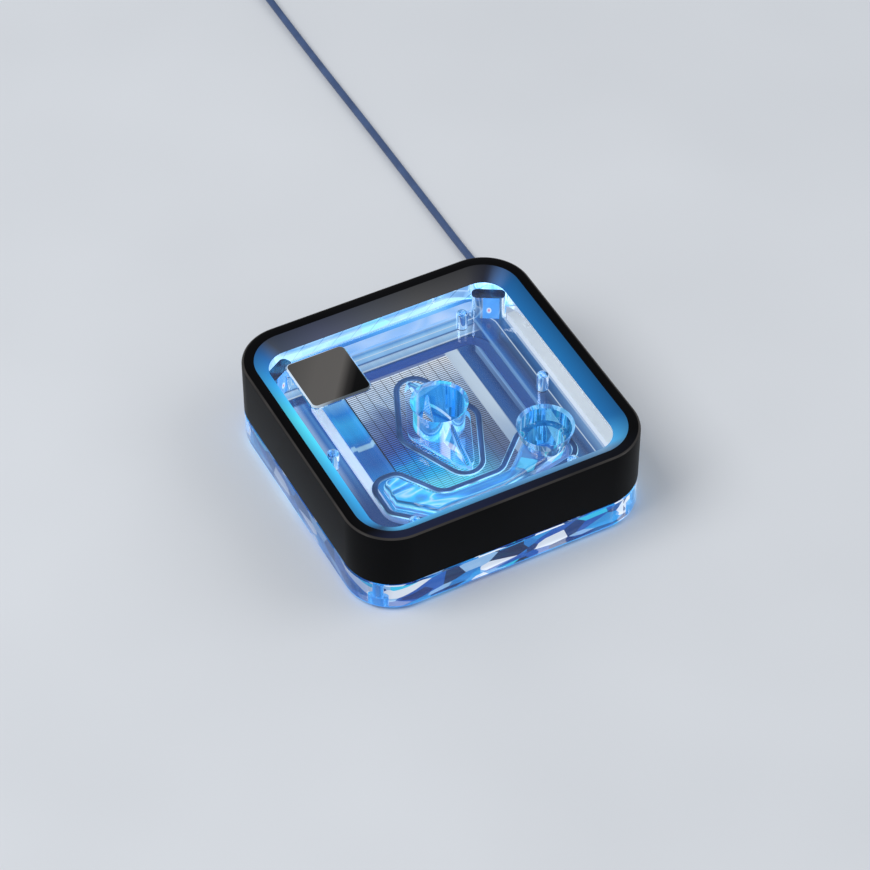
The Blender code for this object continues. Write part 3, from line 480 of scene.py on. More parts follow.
# Bright nickel over milled copper, in the light of the block: cyan and blue along the left, deep
# blue along the right, pale bands at the back, a bright patch and a line of light across the
# left trough, and a fine bright line near the edge all round
nickel, tree, shader, place = start_material("bright_nickel_plate", {"Metallic": 1.0, "Roughness": 0.12})
axes = add_node(tree, "SeparateXYZ", {0: place})
stretch = add_node(tree, "Mapping", {"Vector": place, "Scale": (260.0, 26.0, 60.0)})
streaks = add_node(tree, "TexNoise", {"Vector": stretch, "Scale": 1.0, "Detail": 3.0, "Distortion": 0.4})
wobble = add_node(tree, "Math", {0: streaks, 1: 0.0010, 2: -0.0005}, operation="MULTIPLY_ADD")
across = add_node(tree, "Math", {0: axes.outputs[0], 1: wobble}, operation="ADD")
along_x = add_node(tree, "MapRange", {0: across, 1: -0.030, 2: 0.030})
back_look = add_node(tree, "ValToRGB", {0: along_x}, stops=(
    (0.0, "57d3fc"), (0.03, "3bbcfd"), (0.045, "8cb4ec"), (0.065, "a4c0ec"), (0.085, "3f7cc8"),
    (0.10, "5c9ce0"), (0.11, "2868bc"), (0.155, "2878d0"), (0.17, "2f9af0"), (0.21, "2476cc"),
    (0.24, "3090e0"), (0.255, "a0c0ec"), (0.27, "7c8cb8"), (0.70, "7c8cb8"), (0.706, "d8e4f0"),
    (0.75, "dce8f4"), (0.757, "2c5f9f"), (0.79, "2158a0"), (0.824, "163c74"), (0.828, "8cb4e4"),
    (0.839, "5484c0"), (0.843, "18488c"), (0.884, "1a4c90"), (0.889, "8cbcec"), (0.897, "2c70bc"),
    (0.915, "244c8c"), (0.935, "3c5786"), (0.953, "4b6e9f"), (0.967, "2c5e98"), (1.0, "3f74ae")))
front_look = add_node(tree, "ValToRGB", {0: along_x}, stops=(
    (0.0, "3bbcfd"), (0.03, "1d3a78"), (0.10, "244680"), (0.155, "1c3c74"), (0.17, "236fb5"),
    (0.24, "33a0f0"), (0.27, "49b4f2"), (0.48, "5a9ade"), (0.60, "4a6ea6"), (0.70, "54749f"),
    (0.706, "a8c0dc"), (0.75, "a8c0dc"), (0.757, "3768a4"), (0.79, "376499"), (0.85, "2f68a8"),
    (0.90, "3c6ea8"), (0.93, "3c5786"), (0.96, "557eb6"), (1.0, "8ab0d8")))
depth = add_node(tree, "MapRange", {0: axes.outputs[1], 1: -0.017, 2: 0.004}, interpolation_type="SMOOTHSTEP")
side_mix = add_node(tree, "Mix", {0: depth, 6: front_look, 7: back_look}, data_type="RGBA")
strip_off = add_node(tree, "Math", {0: axes.outputs[0], 1: 0.0175}, operation="ADD")
strip_off = add_node(tree, "Math", {0: strip_off}, operation="ABSOLUTE")
in_strip = add_node(tree, "MapRange", {0: strip_off, 1: 0.0029, 2: 0.0032, 3: 0.85, 4: 0.0})
strip_y = add_node(tree, "Math", {0: axes.outputs[2], 1: 0.467, 2: axes.outputs[1]}, operation="MULTIPLY_ADD")
strip_y = add_node(tree, "MapRange", {0: strip_y, 1: -0.0185, 2: 0.0215})
strip_look = add_node(tree, "ValToRGB", {0: strip_y}, stops=(
    (0.0, "3cb4f4"), (0.28, "2c94e8"), (0.45, "1c60b4"), (0.568, "2068bc"), (0.576, "b4e0fc"),
    (0.604, "b4e0fc"), (0.612, "2078d0"), (0.70, "34b0fc"), (0.80, "40bcff"), (0.88, "2c90e8"),
    (1.0, "8cccf8")))
stripped = add_node(tree, "Mix", {0: in_strip, 6: side_mix, 7: strip_look}, data_type="RGBA")
bands_y = add_node(tree, "MapRange", {0: axes.outputs[1], 1: 0.0200, 2: 0.0300})
back_bands = add_node(tree, "ValToRGB", {0: bands_y}, stops=(
    (0.0, "a0c0ec"), (0.08, "1a3a78"), (0.33, "24508c"), (0.36, "e4f2ff"), (0.40, "98c0ec"), (0.50, "b4dafc"),
    (0.56, "c4e0fc"), (0.60, "2c5a98"), (0.64, "98ccfc"), (0.80, "acdcff"), (0.90, "5a9cdc"),
    (1.0, "c8e4fc")))
behind = add_node(tree, "MapRange", {0: axes.outputs[1], 1: 0.0205, 2: 0.0212})
inward = add_node(tree, "MapRange", {0: axes.outputs[0], 1: 0.0235, 2: 0.0200})
at_back = add_node(tree, "Math", {0: behind, 1: inward}, operation="MULTIPLY")
banded = add_node(tree, "Mix", {0: at_back, 6: stripped, 7: back_bands}, data_type="RGBA")
violet = add_node(tree, "ValToRGB", {0: streaks}, stops=((0.48, "000000"), (0.64, "ffffff")))
violet_part = add_node(tree, "Math", {0: violet, 1: 0.1}, operation="MULTIPLY")
streaked = add_node(tree, "Mix", {0: violet_part, 6: banded, 7: srgb("3a3f8a")}, data_type="RGBA")

# The fine line follows the plate's outline, 2.2 mm inside it, round the corners too
beyond = add_node(tree, "VectorMath", {0: place}, operation="ABSOLUTE")
beyond = add_node(tree, "VectorMath", {0: beyond, 1: (0.0236, 0.0236, 1.0)}, operation="SUBTRACT")
beyond = add_node(tree, "VectorMath", {0: beyond, 1: (0.0, 0.0, 0.0)}, operation="MAXIMUM")
ring = add_node(tree, "VectorMath", {0: beyond}, operation="LENGTH")
line_off = add_node(tree, "Math", {0: ring, 1: 0.0040}, operation="SUBTRACT")
line_off = add_node(tree, "Math", {0: line_off}, operation="ABSOLUTE")
line = add_node(tree, "MapRange", {0: line_off, 1: 0.00008, 2: 0.00018, 3: 0.85, 4: 0.0})
lined = add_node(tree, "Mix", {0: line, 6: streaked, 7: srgb("e4f2fe")}, data_type="RGBA")
top_only = add_node(tree, "MapRange", {0: axes.outputs[2], 1: 0.0024, 2: 0.0031})
at_rim = add_node(tree, "MapRange", {0: ring, 1: 0.0058, 2: 0.0060, 3: 0.0, 4: 0.6})
glow_level = add_node(tree, "Math", {0: top_only, 1: at_rim}, operation="MAXIMUM")
glow_power = add_node(tree, "Math", {0: glow_level, 1: 0.8}, operation="MULTIPLY")
lap = add_node(tree, "TexNoise", {"Vector": place, "Scale": 420.0, "Detail": 1.0})
lap_rough = add_node(tree, "MapRange", {0: lap, 3: 0.08, 4: 0.18})
lap_bump = add_node(tree, "Bump", {"Strength": 0.03, "Distance": 0.0001, "Height": lap})
under = add_node(tree, "MapRange", {0: axes.outputs[2], 1: 0.0, 2: 0.0004})
lapped = add_node(tree, "ValToRGB", {0: lap}, stops=((0.3, "a8a49c"), (0.7, "bcb8b0")))
# Above its lapped underside the metal is painted dark navy, as the shade inside the block
inside = add_node(tree, "ValToRGB", {0: lap}, stops=((0.3, "1c3450"), (0.7, "243e5c")))
metal_tint = add_node(tree, "Mix", {0: under, 6: lapped, 7: inside}, data_type="RGBA")
set_inputs(shader, {"Base Color": metal_tint, "Emission Color": lined, "Emission Strength": glow_power,
    "Roughness": lap_rough, "Normal": lap_bump})
finish_piece(cold_plate, [nickel])
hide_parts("cold_plate")

# The same nickel on the fins: the light on them runs from pale blue-white at the back through
# grey and violet blue to cyan at the front, and sinks away between them
fin_nickel, tree, shader, place = start_material("nickel_fins", {"Metallic": 1.0, "Roughness": 0.55})
axes = add_node(tree, "SeparateXYZ", {0: place})
patches = add_node(tree, "TexNoise", {"Vector": place, "Scale": 110.0, "Detail": 2.0, "Distortion": 1.2})
shift = add_node(tree, "Math", {0: patches, 1: 0.012, 2: -0.006}, operation="MULTIPLY_ADD")
lengthwise = add_node(tree, "Math", {0: axes.outputs[1], 1: shift}, operation="ADD")
along_y = add_node(tree, "MapRange", {0: lengthwise, 1: -0.020, 2: 0.020})
left_look = add_node(tree, "ValToRGB", {0: along_y}, stops=(
    (0.0, "54e8ff"), (0.10, "70dcff"), (0.20, "2cc4ff"), (0.32, "2888e8"), (0.45, "3c60b4"), (0.58, "5068ac"),
    (0.72, "7c94c4"), (0.84, "bcd4f4"), (1.0, "e8eefa")))
right_look = add_node(tree, "ValToRGB", {0: along_y}, stops=(
    (0.0, "5a86c4"), (0.15, "5a6c98"), (0.35, "6a7898"), (0.55, "8090b0"), (0.72, "a0b4d4"), (0.86, "d0dcf0"),
    (1.0, "ecebf0")))
rightwards = add_node(tree, "MapRange", {0: axes.outputs[0], 1: -0.002, 2: 0.010},
    interpolation_type="SMOOTHSTEP")
fin_mix = add_node(tree, "Mix", {0: rightwards, 6: left_look, 7: right_look}, data_type="RGBA")
between = add_node(tree, "MapRange", {0: axes.outputs[1], 1: -0.018, 2: -0.002, 3: 0.5, 4: 0.02})
crown = add_node(tree, "MapRange", {0: axes.outputs[2], 1: 0.0047, 2: 0.00488, 3: between, 4: 1.0},
                 interpolation_type="SMOOTHSTEP")
# The metal's own colour is painted near black, as deep shade, so that the fins show their painted light alone
fin_tint = add_node(tree, "ValToRGB", {0: patches}, stops=((0.3, "0c1020"), (0.7, "141a2e")))
set_inputs(shader, {"Base Color": fin_tint, "Emission Color": fin_mix, "Emission Strength": crown})
finish_piece(fin_field, [fin_nickel])
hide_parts("cold_plate")


# Perimeter seal: a flat ring cut from translucent silicone sheet, laid in its groove in the plate.
# It glows pale where the lights shine into it, and is darkest along the side with the board.
SEAL_THICKNESS = 1.1 * MM
perimeter_seal = block("silicone_seal", (-SEAL_OUTER, -SEAL_OUTER, PLATE_TOP - SEAL_THICKNESS),
    (SEAL_OUTER, SEAL_OUTER, PLATE_TOP), 5.5 * MM, 14)
seal_inner = SEAL_OUTER - SEAL_WIDTH
carve(perimeter_seal, block("seal_middle", (-seal_inner, -seal_inner, 0.0),
    (seal_inner, seal_inner, PLATE_TOP + MM), 3.2 * MM, 14))
soften(perimeter_seal, 0.12 * MM, 2, 50)

# Silicone rubber sheet, die-cut: milky, soft-looking, without grain. Its colour is painted light, also
# emitted: pale at the left end, navy along the rest, blue-grey in front
silicone, tree, shader, place = start_material(
    "milky_silicone", {"Roughness": 0.45, "IOR": 1.41, "Subsurface Weight": 0.2, "Subsurface Scale": 0.001})
axes = add_node(tree, "SeparateXYZ", {0: place})
milk = add_node(tree, "TexNoise", {"Vector": place, "Scale": 90.0, "Detail": 3.0})
nudge = add_node(tree, "Math", {0: milk, 1: 0.0002, 2: -0.0001}, operation="MULTIPLY_ADD")
sideways = add_node(tree, "Math", {0: axes.outputs[0], 1: nudge}, operation="ADD")
along_x = add_node(tree, "MapRange", {0: sideways, 1: -0.023, 2: 0.023})
seal_look = add_node(tree, "ValToRGB", {0: along_x}, stops=(
    (0.0, "dce6f6"), (0.045, "d4e2f4"), (0.052, "2450a0"), (0.5, "1c4690"), (0.93, "1a4284"),
    (1.0, "24508c")))
lengthwise = add_node(tree, "MapRange", {0: axes.outputs[1], 1: -0.022, 2: -0.008},
    interpolation_type="SMOOTHSTEP")
seal_mix = add_node(tree, "Mix", {0: lengthwise, 6: srgb("5f7cae"), 7: seal_look}, data_type="RGBA")
set_inputs(shader, {"Base Color": seal_mix, "Emission Color": seal_mix, "Emission Strength": 0.7})
finish_piece(perimeter_seal, [silicone])
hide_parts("perimeter_seal")


# Inlet and outlet gaskets: round cords of soft rubber, 1.4 mm thick, painted blue-grey as they look in the
# block's light, pressed into round-bottomed grooves of the clear body. The first rings the inlet, the second
# the outlet space.
CORD_RADIUS = 0.7 * MM
CORD_Z = 5.9 * MM
DIAMOND = [
    ((0.0, -22.2 * MM), 4.1 * MM), ((9.95 * MM, 0.0), 4.7 * MM),
    ((0.0, 22.2 * MM), 4.1 * MM), ((-9.95 * MM, 0.0), 4.7 * MM)]
OUTLET_LOOP = [((-22.1 * MM, -8.6 * MM), 3.8 * MM), ((-22.1 * MM, -18.7 * MM), 2.5 * MM),
    ((-13.6 * MM, -26.4 * MM), 3.5 * MM), ((4.0 * MM, -26.4 * MM), 4.0 * MM),
    ((23.9 * MM, -22.2 * MM), 4.0 * MM), ((23.9 * MM, -9.9 * MM), 4.5 * MM),
    ((14.6 * MM, -10.4 * MM), 4.0 * MM), ((6.0 * MM, -18.6 * MM), 4.0 * MM),
    ((-8.9 * MM, -18.6 * MM), 4.0 * MM), ((-15.2 * MM, -8.6 * MM), 3.2 * MM)]


def filleted_outline(corners, steps, offset=0.0):
    """Points of a closed outline, anticlockwise, with each corner rounded and the whole moved outwards."""
    points = []
    for index, (corner, radius) in enumerate(corners):
        before = Vector(corners[index - 1][0])
        here = Vector(corner)
        after = Vector(corners[(index + 1) % len(corners)][0])
        arriving = (here - before).normalized()
        leaving = (after - here).normalized()
        turn = arriving.angle_signed(leaving)
        side = -1 if turn < 0 else 1
        normal_in = Vector((arriving.y, -arriving.x))
        normal_out = Vector((leaving.y, -leaving.x))
        centre = here + (normal_in + normal_out).normalized() * side * radius / math.cos(abs(turn) / 2)
        for step in range(steps + 1):
            spoke = Matrix.Rotation(-turn * step / steps, 2) @ (normal_in * -side)
            points.append(centre + spoke * max(radius - side * offset, 0.05 * MM))
    return points


def loop_tube(name, corners, radius, height, rings=4, steps=10):
    """A round cord laid along a closed outline, made a mesh."""
    points = filleted_outline(corners, steps)
    curve = bpy.data.curves.new(name, "CURVE")
    curve.dimensions = "3D"
    curve.bevel_depth = radius
    curve.bevel_resolution = rings
    line = curve.splines.new("POLY")
    line.points.add(len(points) - 1)
    line.use_cyclic_u = True
    for spot, point in zip(line.points, points):
        spot.co = (point.x, point.y, height, 1.0)
    select_only(add_object(name, curve))
    bpy.ops.object.convert(target="MESH")
    obj = bpy.context.object
    bpy.ops.object.mode_set(mode="EDIT")
    bpy.ops.mesh.select_all(action="SELECT")
    bpy.ops.mesh.remove_doubles(threshold=0.001 * MM)
    bpy.ops.mesh.normals_make_consistent(inside=False)
    leave_edit()
    return obj


# EPDM cord, extruded and joined: smooth and satin, painted blue as it looks in the block's light, with a
# painted glow paler on its crown and a fine painted highlight along both flanks, stronger and broken in front
epdm, tree, shader, place = start_material("epdm_cord", {"Roughness": 0.35, "IOR": 1.5})
axes = add_node(tree, "SeparateXYZ", {0: place})
mottle = add_node(tree, "TexNoise", {"Vector": place, "Scale": 140.0, "Detail": 2.0})
cord_tint = add_node(tree, "ValToRGB", {0: mottle}, stops=((0.35, "2c4a7a"), (0.6, "3e669e")))
crest = add_node(tree, "MapRange", {0: axes.outputs[2], 1: 0.0060, 2: 0.0066, 3: 0.45, 4: 0.25},
    interpolation_type="SMOOTHSTEP")
flank = add_node(tree, "MapRange", {0: axes.outputs[2], 1: 0.00638, 2: 0.00622})
nearer = add_node(tree, "MapRange", {0: axes.outputs[1], 1: 0.0, 2: -0.014, 3: 0.15, 4: 1.0})
broken = add_node(tree, "MapRange", {0: mottle, 1: 0.36, 2: 0.50})
rim_part = add_node(tree, "Math", {0: flank, 1: nearer}, operation="MULTIPLY")
rim_part = add_node(tree, "Math", {0: rim_part, 1: broken}, operation="MULTIPLY")
rim_tint = add_node(tree, "Mix", {0: rim_part, 6: cord_tint, 7: srgb("a8e4ff")}, data_type="RGBA")
rim_power = add_node(tree, "Math", {0: rim_part, 1: 0.8, 2: crest}, operation="MULTIPLY_ADD")
set_inputs(shader, {"Base Color": cord_tint, "Emission Color": rim_tint, "Emission Strength": rim_power})
for name, corners, node in (
        ("inlet_cord", DIAMOND, "inlet_gasket"), ("outlet_cord", OUTLET_LOOP, "outlet_gasket")):
    cord_ring = loop_tube(name, corners, CORD_RADIUS, CORD_Z)
    finish_piece(cord_ring, [epdm], 60)
    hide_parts(node)


# Clear body: one block of cast acrylic, milled all round and polished, with a flange that carries
# the frame. Into it are cut both ports, the recess and the blade over the fins, the outlet space,
# the blind screw holes, the recess for the badge, and the slot and pockets for the lights.
def square_outline(half, corner, half_y=None):
    """The corners of a square or oblong about the origin, for filleted_outline."""
    return [((sx * half, sy * (half_y or half)), corner) for sx, sy in ((-1, -1), (1, -1), (1, 1), (-1, 1))]


BODY_LIFT = 0.5 * MM
FLANGE_TOP = 8.1 * MM
BODY_TOP = 20.0 * MM
RECESS_HALF = 30.1 * MM
RECESS_ROOF = 5.2 * MM
BODY_OUTLINE = square_outline(36.0 * MM, 11.5 * MM)
UPPER_OUTLINE = square_outline(33.4 * MM, 14.0 * MM)
UPPER_ROOM = 0.3 * MM
OUTLET_AT = (17.5 * MM, -17.5 * MM)
BLADE = [
    ((0.0, -20.4 * MM), 0.7 * MM), ((2.6 * MM, 0.0), 2.0 * MM),
    ((0.0, 20.4 * MM), 0.7 * MM), ((-2.6 * MM, 0.0), 2.0 * MM)]
PORT_RADIUS = 5.9 * MM
MOUTH_RADIUS = 6.6 * MM
MOUTH_DEPTH = 0.7 * MM
POCKET_LEDGE = 7.2 * MM
POCKET_ROOF = 17.4 * MM
POCKET_TURN = 30
FRONT_BEARING = math.radians(27.6)
BLIND_HOLE_TOP = 13.6 * MM
FRAME_SCREW_AT = 30.9 * MM
DIAMOND_ROOF = 6.9 * MM
BLADE_TOP = 16.5 * MM
BLADE_TOP_SCALE = 0.4
CORD_TO_WALL = 1.9 * MM

# Cast acrylic, flame-polished: quite clear, with the faintest blue of the lights inside it, painted on as a
# faint glow
clear_acrylic, tree, shader, place = start_material("polished_acrylic", {
    "Base Color": srgb("eef8ff"), "Roughness": 0.0, "IOR": 1.49, "Transmission Weight": 1.0})
faint_glow_noise = add_node(tree, "TexNoise", {"Vector": place, "Scale": 60.0, "Detail": 2.0})
faint_glow_tint = add_node(tree, "ValToRGB", {0: faint_glow_noise}, stops=((0.35, "01040a"), (0.65, "04101e")))
set_inputs(shader, {"Emission Color": faint_glow_tint, "Emission Strength": 0.4})

# The same acrylic where it is bored: the walls catch the lights in upright bands, mid blue on the
# far side of a bore and paler with white on its near side, cyan where they turn edge-on, with a
# lavender mouth, and weaker round the outlet
lit_acrylic, tree, shader, place = start_material("bored_acrylic_walls", {
    "Base Color": srgb("3ca4e8"), "Roughness": 0.02, "IOR": 1.49, "Transmission Weight": 0.8})
axes = add_node(tree, "SeparateXYZ", {0: place})
at_outlet = add_node(tree, "Math", {0: axes.outputs[0], 1: 0.0095}, operation="GREATER_THAN")
moved = add_node(tree, "VectorMath", {0: (-0.0175, 0.0175, 0.0), "Scale": at_outlet}, operation="SCALE")
own_place = add_node(tree, "VectorMath", {0: place, 1: moved}, operation="ADD")
turned = add_node(tree, "Mapping", {"Vector": own_place, "Rotation": (0.0, 0.0, FRONT_BEARING)})
turned_axes = add_node(tree, "SeparateXYZ", {0: turned})
upright = add_node(tree, "Mapping", {"Vector": place, "Scale": (700.0, 700.0, 40.0)})
glints = add_node(tree, "TexNoise", {"Vector": upright, "Scale": 1.0, "Detail": 1.0, "Distortion": 0.2})
shifted = add_node(tree, "Math", {0: glints, 1: 0.0006, 2: turned_axes.outputs[0]}, operation="MULTIPLY_ADD")
sidelong = add_node(tree, "MapRange", {0: shifted, 1: -0.0052, 2: 0.0068})
near_bands = add_node(tree, "ValToRGB", {0: sidelong}, stops=(
    (0.0, "3cdcf4"), (0.035, "48e4f4"), (0.05, "d0e2f6"), (0.08, "d0e2f6"), (0.11, "4c9cdc"),
    (0.20, "2c8cd4"), (0.30, "2480cc"), (0.42, "30a4e2"), (0.50, "2488d0"), (0.555, "c4d4ec"),
    (0.66, "d4dcf0"), (0.70, "3488d0"), (0.80, "60b0ea"), (0.88, "2c88d4"), (0.95, "54b0ea"),
    (0.97, "48e4f4")))
far_bands = add_node(tree, "ValToRGB", {0: sidelong}, stops=(
    (0.0, "48e4f4"), (0.05, "a4c8ec"), (0.10, "2c74b8"), (0.18, "14589c"), (0.30, "1c6cb4"), (0.50, "1868b0"),
    (0.75, "1664ac"), (0.88, "0c5494"), (0.93, "44acea"), (0.97, "48e4f4")))
far_side = add_node(tree, "MapRange", {0: turned_axes.outputs[1], 1: -0.0006, 2: 0.0006})
bands = add_node(tree, "Mix", {0: far_side, 6: near_bands, 7: far_bands}, data_type="RGBA")
# Lower down, the far wall's painted light turns darker, as painted shade
deeper = add_node(tree, "MapRange", {0: axes.outputs[2], 1: 0.0142, 2: 0.0128, 3: 0.0, 4: 0.55})
deep_part = add_node(tree, "Math", {0: deeper, 1: far_side}, operation="MULTIPLY")
deepened = add_node(tree, "Mix", {0: deep_part, 6: bands, 7: srgb("10407c")}, data_type="RGBA")
# A painted reflection of the blade's bright edge: a slanting bar across the far wall of the bore
bar_off = add_node(tree, "Math", {0: turned_axes.outputs[0], 1: 0.907, 2: axes.outputs[2]},
    operation="MULTIPLY_ADD")
bar_off = add_node(tree, "Math", {0: bar_off, 1: 0.0114}, operation="SUBTRACT")
bar_off = add_node(tree, "Math", {0: bar_off}, operation="ABSOLUTE")
in_bar = add_node(tree, "MapRange", {0: bar_off, 1: 0.0004, 2: 0.0006, 3: 1.0, 4: 0.0})
off_axis = add_node(tree, "Math", {0: turned_axes.outputs[0]}, operation="ABSOLUTE")
bar_ends = add_node(tree, "MapRange", {0: off_axis, 1: 0.0026, 2: 0.0028, 3: 1.0, 4: 0.0})
bar_part = add_node(tree, "Math", {0: in_bar, 1: bar_ends}, operation="MULTIPLY")
bar_part = add_node(tree, "Math", {0: bar_part, 1: far_side}, operation="MULTIPLY")
along_bar = add_node(tree, "MapRange", {0: turned_axes.outputs[0], 1: -0.0026, 2: 0.0028})
bar_tint = add_node(tree, "ValToRGB", {0: along_bar}, stops=(
    (0.0, "3cd8f0"), (0.3, "84e4f6"), (0.45, "b8d4f0"), (1.0, "dce6f4")))
barred = add_node(tree, "Mix", {0: bar_part, 6: deepened, 7: bar_tint}, data_type="RGBA")
teal_bands = add_node(tree, "ValToRGB", {0: glints}, stops=(
    (0.34, "0c2c4c"), (0.44, "1c5880"), (0.52, "2c7ca4"), (0.57, "1a4c74"), (0.61, "b4d4ea"),
    (0.64, "34e0ec"), (0.70, "1c5a84")))
own_look = add_node(tree, "Mix", {0: at_outlet, 6: barred, 7: teal_bands}, data_type="RGBA")
at_mouth = add_node(tree, "MapRange", {0: axes.outputs[2], 1: 0.0192, 2: 0.0194, 3: 0.0, 4: 0.85})
broken = add_node(tree, "TexNoise", {"Vector": place, "Scale": 330.0, "Detail": 1.0})
mouth_tint = add_node(tree, "ValToRGB", {0: broken}, stops=(
    (0.34, "1c4880"), (0.43, "7494cc"), (0.50, "b0c0e4"), (0.55, "5c88c4"), (0.60, "2c60a4"),
    (0.66, "48d8f0")))
glint_tint = add_node(tree, "Mix", {0: at_mouth, 6: own_look, 7: mouth_tint}, data_type="RGBA")
weaker = add_node(tree, "MapRange", {0: at_outlet, 3: 0.62, 4: 0.42})
set_inputs(shader, {"Emission Color": glint_tint, "Emission Strength": weaker})

# The drilled screw holes show as clear rods with upright glints
drilled_acrylic, tree, shader, place = start_material("drilled_acrylic_walls", {
    "Base Color": srgb("b4d8f8"), "Roughness": 0.02, "IOR": 1.49, "Transmission Weight": 1.0})
upright = add_node(tree, "Mapping", {"Vector": place, "Scale": (900.0, 900.0, 30.0)})
glint_streaks = add_node(tree, "TexNoise", {"Vector": upright, "Scale": 1.0, "Detail": 1.0})
# The upright glints are painted highlights, emitted by the walls
glint_streak_tint = add_node(tree, "ValToRGB", {0: glint_streaks}, stops=(
    (0.34, "0a2c5c"), (0.42, "1a5ca4"), (0.50, "2c88d4"), (0.56, "a8dcf8"), (0.60, "eef8ff"),
    (0.64, "4aa8e8"), (0.72, "123c78")))
set_inputs(shader, {"Emission Color": glint_streak_tint, "Emission Strength": 0.4})

# Polished acrylic over the light pockets: clear, with navy and a little teal in it like deep shade
shaded_acrylic, tree, shader, place = start_material("shaded_acrylic_roof", {
    "Roughness": 0.03, "IOR": 1.49, "Transmission Weight": 0.5})
bowed = add_node(tree, "TexNoise", {"Vector": place, "Scale": 260.0, "Detail": 1.0})
roof_tint = add_node(tree, "ValToRGB", {0: bowed}, stops=(
    (0.40, "040c20"), (0.55, "081c3c"), (0.64, "164c6c")))
set_inputs(shader, {"Base Color": roof_tint, "Emission Color": roof_tint, "Emission Strength": 0.5})

# The walls of the light pockets mirror what lies in front of them: upright glints, and in the
# middle the blue picture of the LED with the tiny white and red light of its chips
pocket_acrylic, tree, shader, place = start_material("light_pocket_walls", {
    "Base Color": srgb("a4d4fa"), "Roughness": 0.02, "IOR": 1.49})
axes = add_node(tree, "SeparateXYZ", {0: place})
folded = add_node(tree, "VectorMath", {0: place}, operation="ABSOLUTE")
folded = add_node(tree, "VectorMath", {0: folded, 1: (0.02708, 0.0270, 0.0100)}, operation="SUBTRACT")
folded = add_node(tree, "Mapping", {"Vector": folded, "Rotation": (0.0, 0.0, math.radians(POCKET_TURN))})
own_axes = add_node(tree, "SeparateXYZ", {0: folded})
aside = add_node(tree, "Math", {0: own_axes.outputs[0], 1: 0.0007}, operation="SUBTRACT")
aside = add_node(tree, "Math", {0: aside}, operation="ABSOLUTE")
in_middle = add_node(tree, "MapRange", {0: aside, 1: 0.0019, 2: 0.0020, 3: 1.0, 4: 0.0})
near_wall = add_node(tree, "MapRange", {0: own_axes.outputs[1], 1: -0.0010, 2: -0.0012})
picture = add_node(tree, "Math", {0: in_middle, 1: near_wall}, operation="MULTIPLY")
flat_place = add_node(tree, "VectorMath", {0: folded, 1: (1.0, 0.0, 0.35)}, operation="MULTIPLY")
from_chip = add_node(tree, "VectorMath", {0: flat_place, 1: (0.0002, 0.0, 0.0)}, operation="DISTANCE")
chip_look = add_node(tree, "MapRange", {0: from_chip, 1: 0.0, 2: 0.001})
chip_colours = add_node(tree, "ValToRGB", {0: chip_look}, stops=(
    (0.0, "e84c44"), (0.24, "e8887c"), (0.32, "e8f0fa"), (0.54, "d4e8fa"), (0.62, "3090e8"), (1.0, "3090e8")))
upright = add_node(tree, "Mapping", {"Vector": place, "Scale": (700.0, 700.0, 30.0)})
glint_streaks = add_node(tree, "TexNoise", {"Vector": upright, "Scale": 1.0, "Detail": 1.0})
side_glints = add_node(tree, "ValToRGB", {0: glint_streaks}, stops=(
    (0.36, "0c3454"), (0.46, "1c6088"), (0.52, "5c9cc4"), (0.57, "d4e8f6"), (0.61, "2c7ca4"),
    (0.70, "10406c")))
pocket_tint = add_node(tree, "Mix", {0: picture, 6: side_glints, 7: chip_colours}, data_type="RGBA")
pocket_power = add_node(tree, "MapRange", {0: picture, 3: 0.35, 4: 0.8})
pocket_clear = add_node(tree, "MapRange", {0: picture, 3: 1.0, 4: 0.15})
set_inputs(shader, {"Emission Color": pocket_tint, "Emission Strength": pocket_power,
    "Transmission Weight": pocket_clear})

# The milled walls break the light into facets, drawn out along the nearest side: deep blue, sky
# blue, cyan and white, pale and calm at the back and by the lights, darker on the left
facet_acrylic, tree, shader, place = start_material("milled_acrylic_facets", {
    "Roughness": 0.04, "IOR": 1.49, "Transmission Weight": 0.25})
axes = add_node(tree, "SeparateXYZ", {0: place})
unsigned = add_node(tree, "VectorMath", {0: place}, operation="ABSOLUTE")
unsigned = add_node(tree, "SeparateXYZ", {0: unsigned})
outward = add_node(tree, "Math", {0: unsigned.outputs[0], 1: unsigned.outputs[1]}, operation="MAXIMUM")
on_flank = add_node(tree, "Math", {0: unsigned.outputs[0], 1: unsigned.outputs[1]}, operation="GREATER_THAN")
along = add_node(tree, "Mix", {0: on_flank, 2: axes.outputs[0], 3: axes.outputs[1]}, data_type="FLOAT")
slant = add_node(tree, "CombineXYZ", {0: along, 1: outward, 2: axes.outputs[2]})
slant = add_node(tree, "Mapping", {"Vector": slant, "Rotation": (0.0, 0.16, 0.16)})
slant = add_node(tree, "Mapping", {"Vector": slant, "Scale": (150.0, 520.0, 420.0)})
cells = add_node(tree, "TexVoronoi", {"Vector": slant, "Scale": 1.0}, feature="F1")
chance = add_node(tree, "SeparateColor", {0: cells.outputs["Color"]})
facet_tint = add_node(tree, "ValToRGB", {0: chance.outputs[0]}, stops=(
    (0.0, "0a2c70"), (0.12, "1858b8"), (0.27, "2484d4"), (0.38, "061838"), (0.46, "1a5cb8"), (0.60, "2c9ce4"),
    (0.70, "30d0f8"), (0.77, "0c3470"), (0.86, "9cc8f0"), (0.92, "f2f8ff")))
facet_tint.color_ramp.interpolation = "CONSTANT"
calm = add_node(tree, "TexNoise", {"Vector": place, "Scale": 70.0, "Detail": 1.0})
pale_facets = add_node(tree, "ValToRGB", {0: calm}, stops=(
    (0.35, "90c4f4"), (0.48, "bcdcfa"), (0.56, "a4d0f8"), (0.66, "d0e6fc")))
at_back = add_node(tree, "MapRange", {0: axes.outputs[1], 1: 0.0285, 2: 0.0290})
facet_mix = add_node(tree, "Mix", {0: at_back, 6: facet_tint, 7: pale_facets}, data_type="RGBA")
